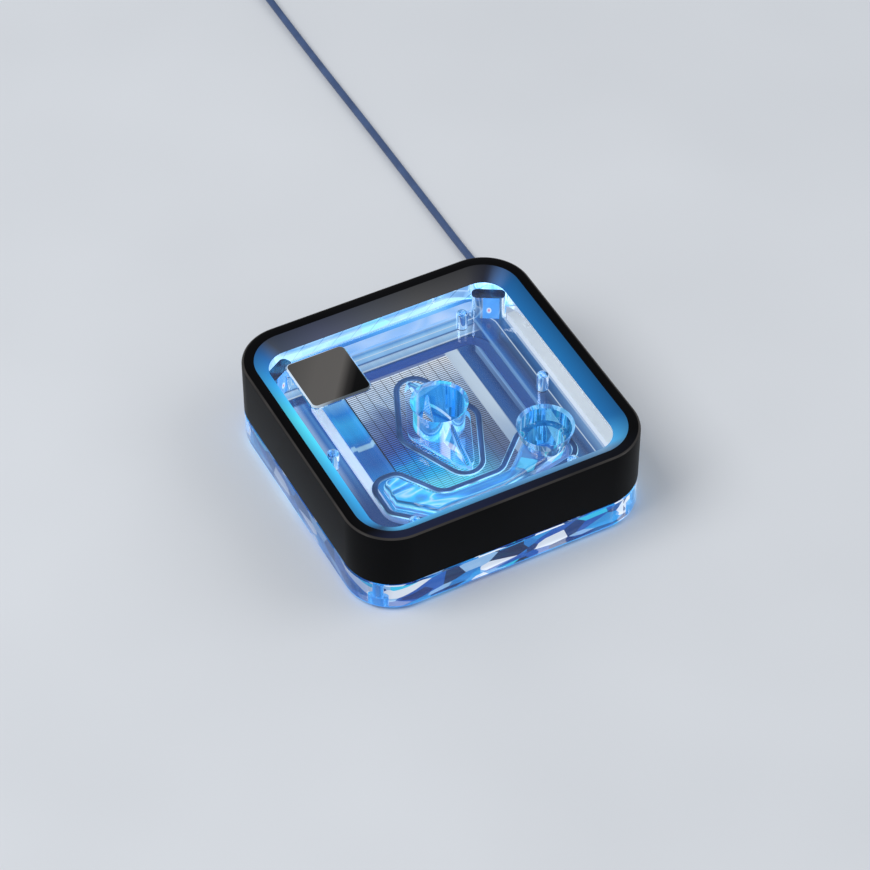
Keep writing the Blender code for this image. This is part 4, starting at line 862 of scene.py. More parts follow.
at_lights = add_node(tree, "MapRange", {0: axes.outputs[0], 1: 0.0298, 2: 0.0300})
lights_mix = add_node(tree, "Mix", {0: at_lights, 6: facet_mix, 7: srgb("bccadc")}, data_type="RGBA")
on_left = add_node(tree, "MapRange", {0: axes.outputs[0], 1: -0.0270, 2: -0.0300, 3: 0.0, 4: 0.6})
shaded_left = add_node(tree, "Mix", {0: on_left, 6: lights_mix, 7: srgb("145496")}, data_type="RGBA")
facet_base = add_node(tree, "Mix", {0: at_back, 6: srgb("0a2450"), 7: srgb("2860a8")}, data_type="RGBA")
set_inputs(shader, {"Base Color": facet_base, "Emission Color": shaded_left, "Emission Strength": 0.78})

# The outlet space was cut with a ball-nosed cutter, and its rounded walls draw the light out into
# long bands, cyan and deep blue, which break up into splinters round the port
wavy_acrylic, tree, shader, place = start_material("ball_milled_acrylic", {
    "Base Color": srgb("70b8ec"), "Roughness": 0.03, "IOR": 1.49, "Transmission Weight": 0.5})
axes = add_node(tree, "SeparateXYZ", {0: place})
drawn_out = add_node(tree, "Mapping", {"Vector": place, "Rotation": (0.0, 0.0, -0.15),
    "Scale": (60.0, 190.0, 60.0)})
melted = add_node(tree, "TexNoise", {"Vector": drawn_out, "Scale": 1.0, "Detail": 1.0, "Distortion": 0.8})
height_here = add_node(tree, "Math", {0: melted, 1: 0.004, 2: axes.outputs[2]}, operation="MULTIPLY_ADD")
up_wall = add_node(tree, "MapRange", {0: height_here, 1: 0.0066, 2: 0.0122})
flow_bands = add_node(tree, "ValToRGB", {0: up_wall}, stops=(
    (0.0, "3cc8f4"), (0.08, "d8f6ff"), (0.12, "40d0f8"), (0.19, "145096"), (0.30, "0a2c60"), (0.36, "2484d8"),
    (0.46, "3cd4fc"), (0.56, "b4f2fe"), (0.60, "40ccf8"), (0.66, "1c78c8"), (0.74, "0c3c64"),
    (0.79, "2484cc"), (0.83, "34ccf8"), (0.855, "d4f8ff"), (0.875, "38c8f8"), (0.91, "1c6cb4"),
    (0.95, "0c3c60"), (1.0, "145488")))
splinter = add_node(tree, "TexVoronoi", {"Vector": place, "Scale": 260.0}, feature="F1")
splinter_chance = add_node(tree, "SeparateColor", {0: splinter.outputs["Color"]})
splinter_tint = add_node(tree, "ValToRGB", {0: splinter_chance.outputs[0]}, stops=(
    (0.0, "1c3c80"), (0.28, "3c6cb4"), (0.42, "2a2c6c"), (0.55, "1c5c88"), (0.70, "7ca4d4"), (0.84, "d4e0f0"),
    (0.93, "44c4e8")))
splinter_tint.color_ramp.interpolation = "CONSTANT"
at_port = add_node(tree, "MapRange", {0: axes.outputs[0], 1: 0.006, 2: 0.010})
patch_tint = add_node(tree, "Mix", {0: at_port, 6: flow_bands, 7: splinter_tint}, data_type="RGBA")
set_inputs(shader, {"Emission Color": patch_tint, "Emission Strength": 0.62})

# The recess round the inlet and the blade above the fins: smooth faces, painted sky blue with the lights'
# glow, paler to the right, with a painted reflection on their near side and a painted glowing line round the
# recess's walls
tent_acrylic, tree, shader, place = start_material("smooth_milled_acrylic", {
    "Base Color": srgb("cfe6fc"), "Roughness": 0.02, "IOR": 1.49, "Transmission Weight": 1.0})
axes = add_node(tree, "SeparateXYZ", {0: place})
veil = add_node(tree, "TexNoise", {"Vector": place, "Scale": 120.0, "Detail": 1.0, "Distortion": 0.6})
sway = add_node(tree, "Math", {0: veil, 1: 0.004, 2: axes.outputs[0]}, operation="MULTIPLY_ADD")
from_left = add_node(tree, "MapRange", {0: sway, 1: -0.006, 2: 0.012})
tent_tint = add_node(tree, "ValToRGB", {0: from_left}, stops=(
    (0.0, "123c78"), (0.35, "1c5ea4"), (0.5, "2a74b8"), (0.60, "3f86c8"), (0.8, "3c7cc4"), (1.0, "2c5c9c")))
turned = add_node(tree, "Mapping", {"Vector": place, "Rotation": (0.0, 0.0, FRONT_BEARING)})
turned_axes = add_node(tree, "SeparateXYZ", {0: turned})
sidelong = add_node(tree, "MapRange", {0: turned_axes.outputs[0], 1: -0.0060, 2: 0.0060})
mirrored = add_node(tree, "ValToRGB", {0: sidelong}, stops=(
    (0.0, "1d5ca4"), (0.03, "9cc8ee"), (0.09, "5c9ad6"), (0.14, "8cbce4"), (0.20, "3484cc"), (0.30, "2474bc"),
    (0.42, "4498da"), (0.50, "2c80c8"), (0.555, "c8cce8"), (0.70, "d4d8ee"), (0.72, "2c6cb4"),
    (0.78, "6cacdf"), (0.88, "3880c8"), (0.97, "4c94d0"), (1.0, "1d5ca4")))
nearer = add_node(tree, "MapRange", {0: turned_axes.outputs[1], 1: -0.0040, 2: -0.0050})
level_part = add_node(tree, "MapRange", {0: axes.outputs[2], 1: 0.0072, 2: 0.0070})
narrow = add_node(tree, "Math", {0: turned_axes.outputs[0]}, operation="ABSOLUTE")
narrow = add_node(tree, "MapRange", {0: narrow, 1: 0.0060, 2: 0.0058})
mirror_part = add_node(tree, "Math", {0: nearer, 1: level_part}, operation="MULTIPLY")
mirror_part = add_node(tree, "Math", {0: mirror_part, 1: narrow}, operation="MULTIPLY")
recess_tint = add_node(tree, "Mix", {0: mirror_part, 6: tent_tint, 7: mirrored}, data_type="RGBA")
on_roof = add_node(tree, "MapRange", {0: axes.outputs[2], 1: 0.00686, 2: 0.00689})
glow_line = add_node(tree, "ValToRGB", {0: veil}, stops=((0.4, "2c84cc"), (0.5, "4cc4f0"), (0.6, "a4e4fa")))
step_tint = add_node(tree, "Mix", {0: on_roof, 6: glow_line, 7: recess_tint}, data_type="RGBA")
clearness = add_node(tree, "MapRange", {0: on_roof, 3: 0.15, 4: 1.0})
on_blade = add_node(tree, "MapRange", {0: axes.outputs[2], 1: 0.0072, 2: 0.0074, 3: 0.2, 4: 0.5})
recess_power = add_node(tree, "Math", {0: mirror_part, 1: 0.55, 2: on_blade}, operation="MULTIPLY_ADD")
line_power = add_node(tree, "MapRange", {0: on_roof, 3: 0.6, 4: 0.0})
power_here = add_node(tree, "Math", {0: recess_power, 1: line_power}, operation="MAXIMUM")
set_inputs(shader, {
    "Transmission Weight": clearness, "Emission Color": step_tint, "Emission Strength": power_here})

# The rounded lower edge of the body gathers the light into a smooth pale blue line
edge_acrylic, tree, shader, place = start_material("rounded_acrylic_edge", {
    "Base Color": srgb("2c6cb4"), "Roughness": 0.06, "IOR": 1.49, "Transmission Weight": 0.5})
ripple = add_node(tree, "TexNoise", {"Vector": place, "Scale": 32.0, "Detail": 1.0})
edge_tint = add_node(tree, "ValToRGB", {0: ripple}, stops=(
    (0.34, "184c88"), (0.46, "2c7cc0"), (0.55, "4aa4de"), (0.63, "94d0f2"), (0.72, "2f80c4")))
set_inputs(shader, {"Emission Color": edge_tint, "Emission Strength": 0.85})

# The upright back wall mirrors the fins: pale sky blue with faint slanting lines and bright shards
wall_acrylic, tree, shader, place = start_material("polished_back_wall", {
    "Base Color": srgb("e4f4ff"), "Roughness": 0.02, "IOR": 1.49, "Transmission Weight": 1.0})
axes = add_node(tree, "SeparateXYZ", {0: place})
leaning = add_node(tree, "Math", {0: axes.outputs[2], 1: -0.5, 2: axes.outputs[0]}, operation="MULTIPLY_ADD")
repeat_lines = add_node(tree, "Math", {0: leaning, 1: 0.00245}, operation="PINGPONG")
thin_lines = add_node(tree, "MapRange", {0: repeat_lines, 1: 0.00008, 2: 0.00024, 3: 0.2, 4: 1.0})
shards = add_node(tree, "TexVoronoi", {"Vector": place, "Scale": 110.0}, feature="F1")
shard_chance = add_node(tree, "SeparateColor", {0: shards.outputs["Color"]})
wall_tint = add_node(tree, "ValToRGB", {0: shard_chance.outputs[0]}, stops=(
    (0.0, "8cbce8"), (0.3, "78b0e6"), (0.5, "a4c8ec"), (0.68, "94cef6"), (0.8, "649fdc"), (0.88, "c4e0fa"),
    (0.95, "80dcf8")))
wall_tint.color_ramp.interpolation = "CONSTANT"
wall_power = add_node(tree, "Math", {0: thin_lines, 1: 0.6}, operation="MULTIPLY")
set_inputs(shader, {"Emission Color": wall_tint, "Emission Strength": wall_power})

# The slot's milled roof is left matt, and the light of the board that it spreads is painted on it evenly as a
# glow
frosted_acrylic, tree, shader, place = start_material("matt_milled_acrylic", {
    "Base Color": srgb("c4c8cc"), "Roughness": 0.7, "IOR": 1.49})
swirl = add_node(tree, "TexNoise", {"Vector": place, "Scale": 50.0, "Detail": 2.0})
spread = add_node(tree, "ValToRGB", {0: swirl}, stops=((0.35, "d6dade"), (0.65, "e2e6ea")))
set_inputs(shader, {"Emission Color": spread, "Emission Strength": 0.6})

# The outside from the bottom up: outline, how far it is drawn in, and height. The first bands
# are the rounded lower edge, and the last upright one is the wall, lit at the back.
BODY_STEPS = 22
LOWER_EDGE_BANDS = 3
WALL_BAND = 6
BACK_FROM = 24.0 * MM
body_materials = [clear_acrylic, lit_acrylic, frosted_acrylic, facet_acrylic, tent_acrylic, edge_acrylic,
                  wall_acrylic, wavy_acrylic, drilled_acrylic, shaded_acrylic, pocket_acrylic]
body_layers = [(filleted_outline(outline, BODY_STEPS, -inset), height) for outline, inset, height in (
    (BODY_OUTLINE, 0.9 * MM, BODY_LIFT), (BODY_OUTLINE, 0.45 * MM, BODY_LIFT + 0.15 * MM),
    (BODY_OUTLINE, 0.12 * MM, BODY_LIFT + 0.5 * MM), (BODY_OUTLINE, 0.0, BODY_LIFT + MM),
    (BODY_OUTLINE, 0.0, FLANGE_TOP - 0.2 * MM), (BODY_OUTLINE, 0.2 * MM, FLANGE_TOP),
    (UPPER_OUTLINE, UPPER_ROOM, FLANGE_TOP), (UPPER_OUTLINE, UPPER_ROOM, BODY_TOP - 0.15 * MM),
    (UPPER_OUTLINE, UPPER_ROOM + 0.15 * MM, BODY_TOP))]
body_shape = bmesh.new()
rims = [[body_shape.verts.new((p.x, p.y, height)) for p in points] for points, height in body_layers]
for level, (lower, upper) in enumerate(zip(rims, rims[1:])):
    for index in range(len(lower)):
        following = (index + 1) % len(lower)
        face = body_shape.faces.new((lower[index], lower[following], upper[following], upper[index]))
        if level < LOWER_EDGE_BANDS:
            face.material_index = body_materials.index(edge_acrylic)
        elif level == WALL_BAND and face.calc_center_median().y > BACK_FROM:
            face.material_index = body_materials.index(wall_acrylic)
body_shape.faces.new(rims[0][::-1]).material_index = body_materials.index(facet_acrylic)
body_shape.faces.new(rims[-1])
body_data = bpy.data.meshes.new("acrylic_body")
body_shape.to_mesh(body_data)
body_shape.free()
acrylic_body = add_object("acrylic_body", body_data)
for material in body_materials:
    body_data.materials.append(material)


def outline_block(name, points, low, high, top_scale=1.0):
    """A flat outline pulled up into a block, whose top can be drawn in towards the axis."""
    data = bpy.data.meshes.new(name)
    data.from_pydata([(p.x, p.y, low) for p in points], [], [tuple(range(len(points)))])
    obj = add_object(name, data)
    edit_faces(obj, lambda f: True)
    bpy.ops.mesh.extrude_region_move(TRANSFORM_OT_translate={"value": (0, 0, high - low)})
    if top_scale != 1.0:
        bpy.ops.transform.resize(value=(top_scale, top_scale, 1.0), center_override=(0, 0, high))
    bpy.ops.mesh.select_all(action="SELECT")
    bpy.ops.mesh.normals_make_consistent(inside=False)
    leave_edit()
    return obj


def outline_stack(name, layers):
    """A solid that passes through flat outlines at their heights."""
    count = len(layers[0][0])
    corners = [(p.x, p.y, height) for points, height in layers for p in points]
    faces = [tuple(range(count)), tuple(range(len(corners) - count, len(corners)))]
    for low in range(0, len(corners) - count, count):
        for index in range(count):
            following = (index + 1) % count
            faces.append((low + index, low + following, low + count + following, low + count + index))
    data = bpy.data.meshes.new(name)
    data.from_pydata(corners, [], faces)
    obj = add_object(name, data)
    edit_faces(obj, lambda f: True)
    bpy.ops.mesh.normals_make_consistent(inside=False)
    leave_edit()
    return obj


def port_bore(name, floor, centre):
    """A smooth bore with a chamfered mouth."""
    bore = drill(name, PORT_RADIUS, floor, BODY_TOP - MOUTH_DEPTH, centre, 96)
    edit_faces(bore, lambda f: f.normal.z > 0.9)
    bpy.ops.mesh.extrude_region_move(TRANSFORM_OT_translate={"value": (0, 0, MOUTH_DEPTH)})
    widen = MOUTH_RADIUS / PORT_RADIUS
    bpy.ops.transform.resize(value=(widen, widen, 1.0), center_override=(centre[0], centre[1], BODY_TOP))
    bpy.ops.mesh.extrude_region_move(TRANSFORM_OT_translate={"value": (0, 0, MM)})
    leave_edit()
    return bore


BADGE_RECESS = (Vector((-26.15, 10.6, 19.3)) * MM, Vector((-11.05, 26.2, 21.0)) * MM)
LIGHT_SLOT = (Vector((31.3, -25.5, -1.0)) * MM, Vector((34.6, 25.5, 4.4)) * MM)
FRAME_HOLE = 1.15 * MM
FRAME_HEAD_HOLE = 2.1 * MM
PASSAGE_RADIUS = 4.2 * MM
CABLE_HOLE_RADIUS = 1.9 * MM
CABLE_HOLE_LENGTH = 4.1 * MM
CABLE_HOLE_AT = Vector((33.0, 20.0, 2.9)) * MM
LIGHT_POCKETS = (((28.0, 27.4), (3.6, 2.3), 1.6, POCKET_LEDGE), ((27.08, 27.0), (3.9, 1.5), 1.2, POCKET_ROOF))
OUTLET_SPACE_WALL = ((1.9, 4.2), (1.9, 6.2), (2.0, 7.3), (2.2, 8.3), (2.5, 9.1), (2.9, 9.6))
carve(acrylic_body, block(
    "plate_recess", (-RECESS_HALF, -RECESS_HALF, -MM), (RECESS_HALF, RECESS_HALF, RECESS_ROOF),
    5.3 * MM, 14), facet_acrylic)
carve(acrylic_body, block("badge_recess", *BADGE_RECESS, 1.6 * MM, 8), clear_acrylic)
carve(acrylic_body, block("light_slot", *LIGHT_SLOT), frosted_acrylic)
for spot in PLATE_SCREW_PLACES:
    blind_hole = drill("blind_hole", SCREW_HOLE, RECESS_ROOF - MM, BLIND_HOLE_TOP, spot, 40)
    edit_faces(blind_hole, lambda f: f.normal.z > 0.9)
    bpy.ops.mesh.bevel(offset=1.0 * MM, segments=6, affect="EDGES")
    leave_edit()
    carve(acrylic_body, blind_hole, drilled_acrylic)
for sx, sy in ((-1, -1), (1, -1), (-1, 1), (1, 1)):
    spot = (sx * FRAME_SCREW_AT, sy * FRAME_SCREW_AT)
    carve(acrylic_body, drill("frame_hole", FRAME_HOLE, -MM, 9.1 * MM, spot, 32), edge_acrylic)
    carve(acrylic_body, drill("frame_counterbore", FRAME_HEAD_HOLE, -MM, 3.3 * MM, spot, 40), edge_acrylic)
for side in (1, -1):
    turn = Matrix.Rotation(math.radians(-side * POCKET_TURN), 2)
    for middle, half, corner, roof in LIGHT_POCKETS:
        centre = Vector((side * middle[0], middle[1])) * MM
        outline = filleted_outline(square_outline(half[0] * MM, corner * MM, half[1] * MM), 8)
        oblong = [turn @ p + centre for p in outline]
        carve(acrylic_body, outline_block("light_pocket", oblong, RECESS_ROOF - MM, roof), pocket_acrylic)
recess_outline = filleted_outline(DIAMOND, 10, -CORD_TO_WALL)
carve(acrylic_body, outline_block("diamond_recess", recess_outline, RECESS_ROOF - MM, DIAMOND_ROOF),
    tent_acrylic)
flow_blade = outline_block("flow_blade", filleted_outline(BLADE, 6), 6.0 * MM, BLADE_TOP, BLADE_TOP_SCALE)
carve(acrylic_body, flow_blade, tent_acrylic)
carve(acrylic_body, port_bore("inlet_bore", RECESS_ROOF - MM, (0.0, 0.0)), lit_acrylic)
space_layers = [(filleted_outline(OUTLET_LOOP, 8, -inset * MM), height * MM)
                for inset, height in OUTLET_SPACE_WALL]
carve(acrylic_body, outline_stack("outlet_space", space_layers), wavy_acrylic)
carve(acrylic_body, drill("outlet_passage", PASSAGE_RADIUS, 9.0 * MM, 16.5 * MM, OUTLET_AT, 64), lit_acrylic)
carve(acrylic_body, port_bore("outlet_bore", 15.5 * MM, OUTLET_AT), lit_acrylic)
cable_hole = drill("cable_hole", CABLE_HOLE_RADIUS, 0.0, CABLE_HOLE_LENGTH, (0.0, 0.0), 32)
cable_hole.data.transform(Matrix.Translation(CABLE_HOLE_AT) @ Matrix.Rotation(math.radians(90), 4, "Y"))
carve(acrylic_body, cable_hole, frosted_acrylic)

# The recess's ceiling stays clear, and the roofs of the light pockets lie in navy shade
for face in acrylic_body.data.polygons:
    if face.normal.z < -0.9 and abs(face.center.z - RECESS_ROOF) < 0.01 * MM:
        face.material_index = body_materials.index(clear_acrylic)
    if face.normal.z < -0.9 and abs(face.center.z - POCKET_ROOF) < 0.01 * MM:
        face.material_index = body_materials.index(shaded_acrylic)
finish_piece(acrylic_body)
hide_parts("clear_top")


# Screws: six hold the cold plate and four the frame, all socket head cap screws in stainless
# steel, turned with rolled threads, put in from below with a hexagon key.
HEAD_EDGE = 0.15 * MM
THREAD_ROOT = 0.86


def cap_screw(name, bottom, head_radius, head_height, radius, end, pitch):
    """One screw about the Z axis: socket in its head, thread rings along its shank."""
    screw = drill(name, head_radius, bottom, bottom + head_height, (0.0, 0.0), 32)
    soften(screw, HEAD_EDGE)
    edit_faces(screw, lambda f: f.normal.z > 0.9 and f.calc_area() > 1e-6)
    bpy.ops.mesh.inset(thickness=head_radius - HEAD_EDGE - radius)
    for ring in range(int((end - bottom - head_height) / pitch)):
        for scale in (THREAD_ROOT, 1 / THREAD_ROOT):
            bpy.ops.mesh.extrude_region_move(TRANSFORM_OT_translate={"value": (0, 0, pitch / 2)})
            bpy.ops.transform.resize(value=(scale, scale, 1.0), center_override=(0, 0, 0))
    leave_edit()
    carve(screw, drill("hexagon", head_radius / 2, bottom - MM, bottom + head_height * 0.6, (0.0, 0.0), 6))
    return screw


# Stainless steel, turned and rolled: bright, with fine rings left by the tool
stainless, tree, shader, place = start_material(
    "turned_stainless_steel", {"Metallic": 1.0, "Roughness": 0.25})
swarf = add_node(tree, "Mapping", {"Vector": place, "Scale": (300.0, 300.0, 6000.0)})
tool_marks = add_node(tree, "TexNoise", {"Vector": swarf, "Scale": 1.0, "Detail": 2.0})
axes = add_node(tree, "SeparateXYZ", {0: place})
# Up the shank, inside the block, the steel is painted blue, as it looks in the block's light
blue_lit_shank = add_node(tree, "MapRange", {0: axes.outputs[2], 1: 0.003, 2: 0.005})
steel_head = add_node(tree, "ValToRGB", {0: tool_marks}, stops=((0.3, "a4a8ae"), (0.7, "c0c4c8")))
steel_tint = add_node(tree, "Mix", {0: blue_lit_shank, 6: steel_head, 7: srgb("3a6090")}, data_type="RGBA")
steel_rough = add_node(tree, "MapRange", {0: tool_marks, 3: 0.18, 4: 0.34})
steel_bump = add_node(tree, "Bump", {"Strength": 0.15, "Distance": 0.0001, "Height": tool_marks})
set_inputs(shader, {"Base Color": steel_tint, "Roughness": steel_rough, "Normal": steel_bump})
plate_screw = cap_screw("plate_cap_screw", bottom=0.3 * MM, head_radius=2.1 * MM, head_height=1.6 * MM,
                        radius=1.05 * MM, end=8.5 * MM, pitch=0.45 * MM)
frame_screw = cap_screw("frame_cap_screw", bottom=1.0 * MM, head_radius=1.8 * MM, head_height=2.0 * MM,
                        radius=0.85 * MM, end=13.9 * MM, pitch=0.4 * MM)
for pattern, node, count in ((plate_screw, "plate_screw", 6), (frame_screw, "frame_screw", 4)):
    for number in range(1, count + 1):
        screw = pattern if number == count else pattern.copy()
        if screw is not pattern:
            screw.data = pattern.data.copy()
            bpy.context.scene.collection.objects.link(screw)
        screw.name = f"{node}_fitted_{number}"
        low, high = [Vector(c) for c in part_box(f"{node}_{number}")]
        screw.data.transform(Matrix.Translation(((low.x + high.x) / 2, (low.y + high.y) / 2, 0.0)))
        finish_piece(screw, [stainless])
        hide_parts(f"{node}_{number}")


# Lights: small white-bodied LEDs soldered to a strip board in the side slot, and one larger LED
# over each back corner of the plate. Each has a round lens of clear resin over its chips.
def led_package(name, size, height):
    """One LED about the Z axis, from the board up: a square body with a dished round window."""
    floor_from = height * 0.65
    package = block(name, (-size / 2, -size / 2, 0.0), (size / 2, size / 2, height), 0.2 * MM, 3)
    carve(package, drill("dish", size * 0.38, height * 0.7, height + MM, (0.0, 0.0), 32))
    edit_faces(package, lambda f: f.normal.z > 0.9 and floor_from < f.calc_center_median().z < height * 0.75)
    bpy.ops.mesh.inset(thickness=size * 0.06)
    bpy.ops.mesh.extrude_region_move(TRANSFORM_OT_translate={"value": (0, 0, height * 0.18)})
    shape = bmesh.from_edit_mesh(package.data)
    for face in shape.faces:
        middle = face.calc_center_median()
        if face.select or (middle.xy.length < size * 0.33 and middle.z > floor_from):
            face.material_index = 1
    bmesh.update_edit_mesh(package.data)
    leave_edit()
    return package


# White thermoplastic body of the LEDs: matt, bright, faintly blue from its own light
led_body, tree, shader, place = start_material(
    "white_led_body", {"Roughness": 0.5, "IOR": 1.5, "Emission Strength": 0.8})
fleck = add_node(tree, "TexNoise", {"Vector": place, "Scale": 900.0, "Detail": 2.0})
body_tint = add_node(tree, "ValToRGB", {0: fleck}, stops=((0.3, "5ca8f0"), (0.7, "84c0f6")))
set_inputs(shader, {"Base Color": body_tint, "Emission Color": body_tint})

# Clear resin over lit chips: deep sky blue, brightest in the middle, with tiny red and white chips
led_window, tree, shader, place = start_material(
    "lit_led_resin", {"Roughness": 0.12, "IOR": 1.5, "Coat Weight": 0.5})
chips = add_node(tree, "TexVoronoi", {"Vector": place, "Scale": 1100.0}, feature="F1")
chip_tint = add_node(tree, "ValToRGB", {0: chips.outputs["Distance"]}, stops=(
    (0.0, "ffffff"), (0.12, "ff7a6a"), (0.2, "2a90f0"), (0.6, "1a78e0")))
set_inputs(shader, {"Base Color": chip_tint, "Emission Color": chip_tint, "Emission Strength": 1.2})
small_led = led_package("small_led", size=2.2 * MM, height=1.6 * MM)
large_led = led_package("large_led", size=3.5 * MM, height=1.4 * MM)
led_nodes = [(small_led, f"led_{n}", 0.0) for n in range(1, 7)]
led_nodes += [(large_led, "corner_led_1", POCKET_TURN), (large_led, "corner_led_2", -POCKET_TURN)]
for pattern, node, degrees in led_nodes:
    led = add_object(node + "_fitted", pattern.data.copy())
    low, high = [Vector(c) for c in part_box(node)]
    led.data.transform(Matrix.Translation(((low.x + high.x) / 2, (low.y + high.y) / 2, low.z))
                       @ Matrix.Rotation(math.radians(degrees), 4, "Z"))
    finish_piece(led, [led_body, led_window])
    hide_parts(node)
for pattern in (small_led, large_led):
    bpy.data.objects.remove(pattern, do_unlink=True)

# Strip board: glass-fibre laminate under white solder resist, with faint copper tracks under it. The white is
# also emitted, a painted glow of the lights on it
solder_resist, tree, shader, place = start_material(
    "white_solder_resist", {"Roughness": 0.35, "IOR": 1.5, "Emission Strength": 0.55})
tracks = add_node(tree, "TexBrick", {"Vector": place, "Scale": 90.0, "Mortar Size": 0.03,
    "Color1": srgb("e8eef4"), "Color2": srgb("dfe7f0"), "Mortar": srgb("bccada")})
set_inputs(shader, {"Base Color": tracks, "Emission Color": tracks})
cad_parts["led_board"].data.materials.clear()
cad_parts["led_board"].data.materials.append(solder_resist)

# Slot cover: a strip of white polycarbonate, sawn to length and snapped in, with a fine matt texture
polycarbonate, tree, shader, place = start_material(
    "matt_white_polycarbonate", {"Roughness": 0.6, "IOR": 1.58})
spark = add_node(tree, "TexNoise", {"Vector": place, "Scale": 2200.0, "Detail": 3.0})
cover_tint = add_node(tree, "ValToRGB", {0: spark}, stops=((0.3, "c9d0d6"), (0.7, "dde3e8")))
cover_bump = add_node(tree, "Bump", {"Strength": 0.25, "Distance": 0.0001, "Height": spark})
set_inputs(shader, {"Base Color": cover_tint, "Normal": cover_bump})
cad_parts["slot_cover"].data.materials.clear()
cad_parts["slot_cover"].data.materials.append(polycarbonate)


# Badge plate: a small square of gloss black acrylic, let into the top of the clear body and
# standing a little proud of it. It is left bare.
BADGE_LOW, BADGE_HIGH = [Vector(c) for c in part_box("badge_plate")]
BADGE_CORNER = 1.3 * MM
badge = block("gloss_badge", BADGE_LOW, BADGE_HIGH, BADGE_CORNER, 10)
soften(badge, 0.1 * MM, 3, 50)

# Gloss black acrylic, laser-cut: deep, mirror-smooth, painted warm grey where it catches the light on its
# left, with a pale painted highlight along its rim, strongest on the left
gloss_black, tree, shader, place = start_material(
    "gloss_black_acrylic", {"Roughness": 0.08, "IOR": 1.49, "Specular IOR Level": 0.1})
axes = add_node(tree, "SeparateXYZ", {0: place})
lean = add_node(tree, "Math", {0: axes.outputs[1], 1: -0.73, 2: axes.outputs[0]}, operation="MULTIPLY_ADD")
sweep = add_node(tree, "MapRange", {0: lean, 1: -0.045, 2: -0.019})
sheen = add_node(tree, "ValToRGB", {0: sweep}, stops=(
    (0.0, "4c4a48"), (0.35, "5e5b58"), (0.62, "605d5a"), (0.72, "2c2a29"), (0.80, "060606"), (1.0, "010101")))
dust = add_node(tree, "TexNoise", {"Vector": place, "Scale": 800.0, "Detail": 3.0})
dusty = add_node(tree, "MapRange", {0: dust, 3: 0.05, 4: 0.16})
badge_middle = (BADGE_LOW + BADGE_HIGH) / 2
badge_inner = (BADGE_HIGH - BADGE_LOW) / 2 - Vector((BADGE_CORNER, BADGE_CORNER, 0.0))
rim = add_node(tree, "VectorMath", {0: place, 1: (badge_middle.x, badge_middle.y, 0.0)}, operation="SUBTRACT")
rim = add_node(tree, "VectorMath", {0: rim}, operation="ABSOLUTE")
rim = add_node(tree, "VectorMath", {0: rim, 1: (badge_inner.x, badge_inner.y, 1.0)}, operation="SUBTRACT")
rim = add_node(tree, "VectorMath", {0: rim, 1: (0.0, 0.0, 0.0)}, operation="MAXIMUM")
rim = add_node(tree, "VectorMath", {0: rim}, operation="LENGTH")
at_rim = add_node(tree, "MapRange", {0: rim, 1: 0.00110, 2: 0.00118})
left_rim = add_node(tree, "MapRange", {0: lean, 1: -0.0355, 2: -0.0290, 3: 0.9, 4: 0.12})
rim_power = add_node(tree, "Math", {0: at_rim, 1: left_rim}, operation="MULTIPLY")
set_inputs(shader, {"Emission Color": srgb("d4e8fc"), "Emission Strength": rim_power, "Base Color": sheen,
    "Roughness": dusty})
finish_piece(badge, [gloss_black])
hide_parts("badge_plate")


# Top frame: one square ring milled from aluminium and finished satin black, with a wide chamfer
# round its window. It sits on the clear body's flange and is screwed on from below.
FRAME_BOTTOM = 8.4 * MM
FRAME_TOP = 23.0 * MM
LIP_TOP = 20.5 * MM
LIP_BOTTOM = 20.3 * MM
RING_OUTLINE = square_outline(33.4 * MM, 9.1 * MM)
LIP_OUTLINE = square_outline(30.0 * MM, 5.75 * MM)
FRAME_STEPS = 24
TOP_EDGE_BANDS = (3, 4)
CHAMFER_BANDS = (7, 8)

# The ring's section, once round: outline, how far it is drawn in, and height
frame_layers = [(filleted_outline(outline, FRAME_STEPS, -inset), height) for outline, inset, height in (
    (BODY_OUTLINE, 0.2 * MM, FRAME_BOTTOM), (BODY_OUTLINE, 0.0, FRAME_BOTTOM + 0.2 * MM),
    (BODY_OUTLINE, 0.0, FRAME_TOP - 0.55 * MM), (BODY_OUTLINE, 0.08 * MM, FRAME_TOP - 0.27 * MM),
    (BODY_OUTLINE, 0.27 * MM, FRAME_TOP - 0.08 * MM), (BODY_OUTLINE, 0.55 * MM, FRAME_TOP),
    (RING_OUTLINE, -0.12 * MM, FRAME_TOP), (RING_OUTLINE, 0.12 * MM, FRAME_TOP - 0.1 * MM),
    (LIP_OUTLINE, 0.0, LIP_TOP), (LIP_OUTLINE, 0.0, LIP_BOTTOM),
    (UPPER_OUTLINE, 0.0, LIP_BOTTOM), (UPPER_OUTLINE, 0.0, FRAME_BOTTOM))]
frame_shape = bmesh.new()
rims = [[frame_shape.verts.new((p.x, p.y, height)) for p in points] for points, height in frame_layers]
for level, (lower, upper) in enumerate(zip(rims, rims[1:] + rims[:1])):
    for index in range(len(lower)):
        following = (index + 1) % len(lower)
        face = frame_shape.faces.new((lower[index], lower[following], upper[following], upper[index]))
        face.material_index = 1 if level in CHAMFER_BANDS else 2 if level in TOP_EDGE_BANDS else 0
bmesh.ops.recalc_face_normals(frame_shape, faces=frame_shape.faces)
frame_data = bpy.data.meshes.new("black_frame")
frame_shape.to_mesh(frame_data)
frame_shape.free()
black_frame = add_object("black_frame", frame_data)

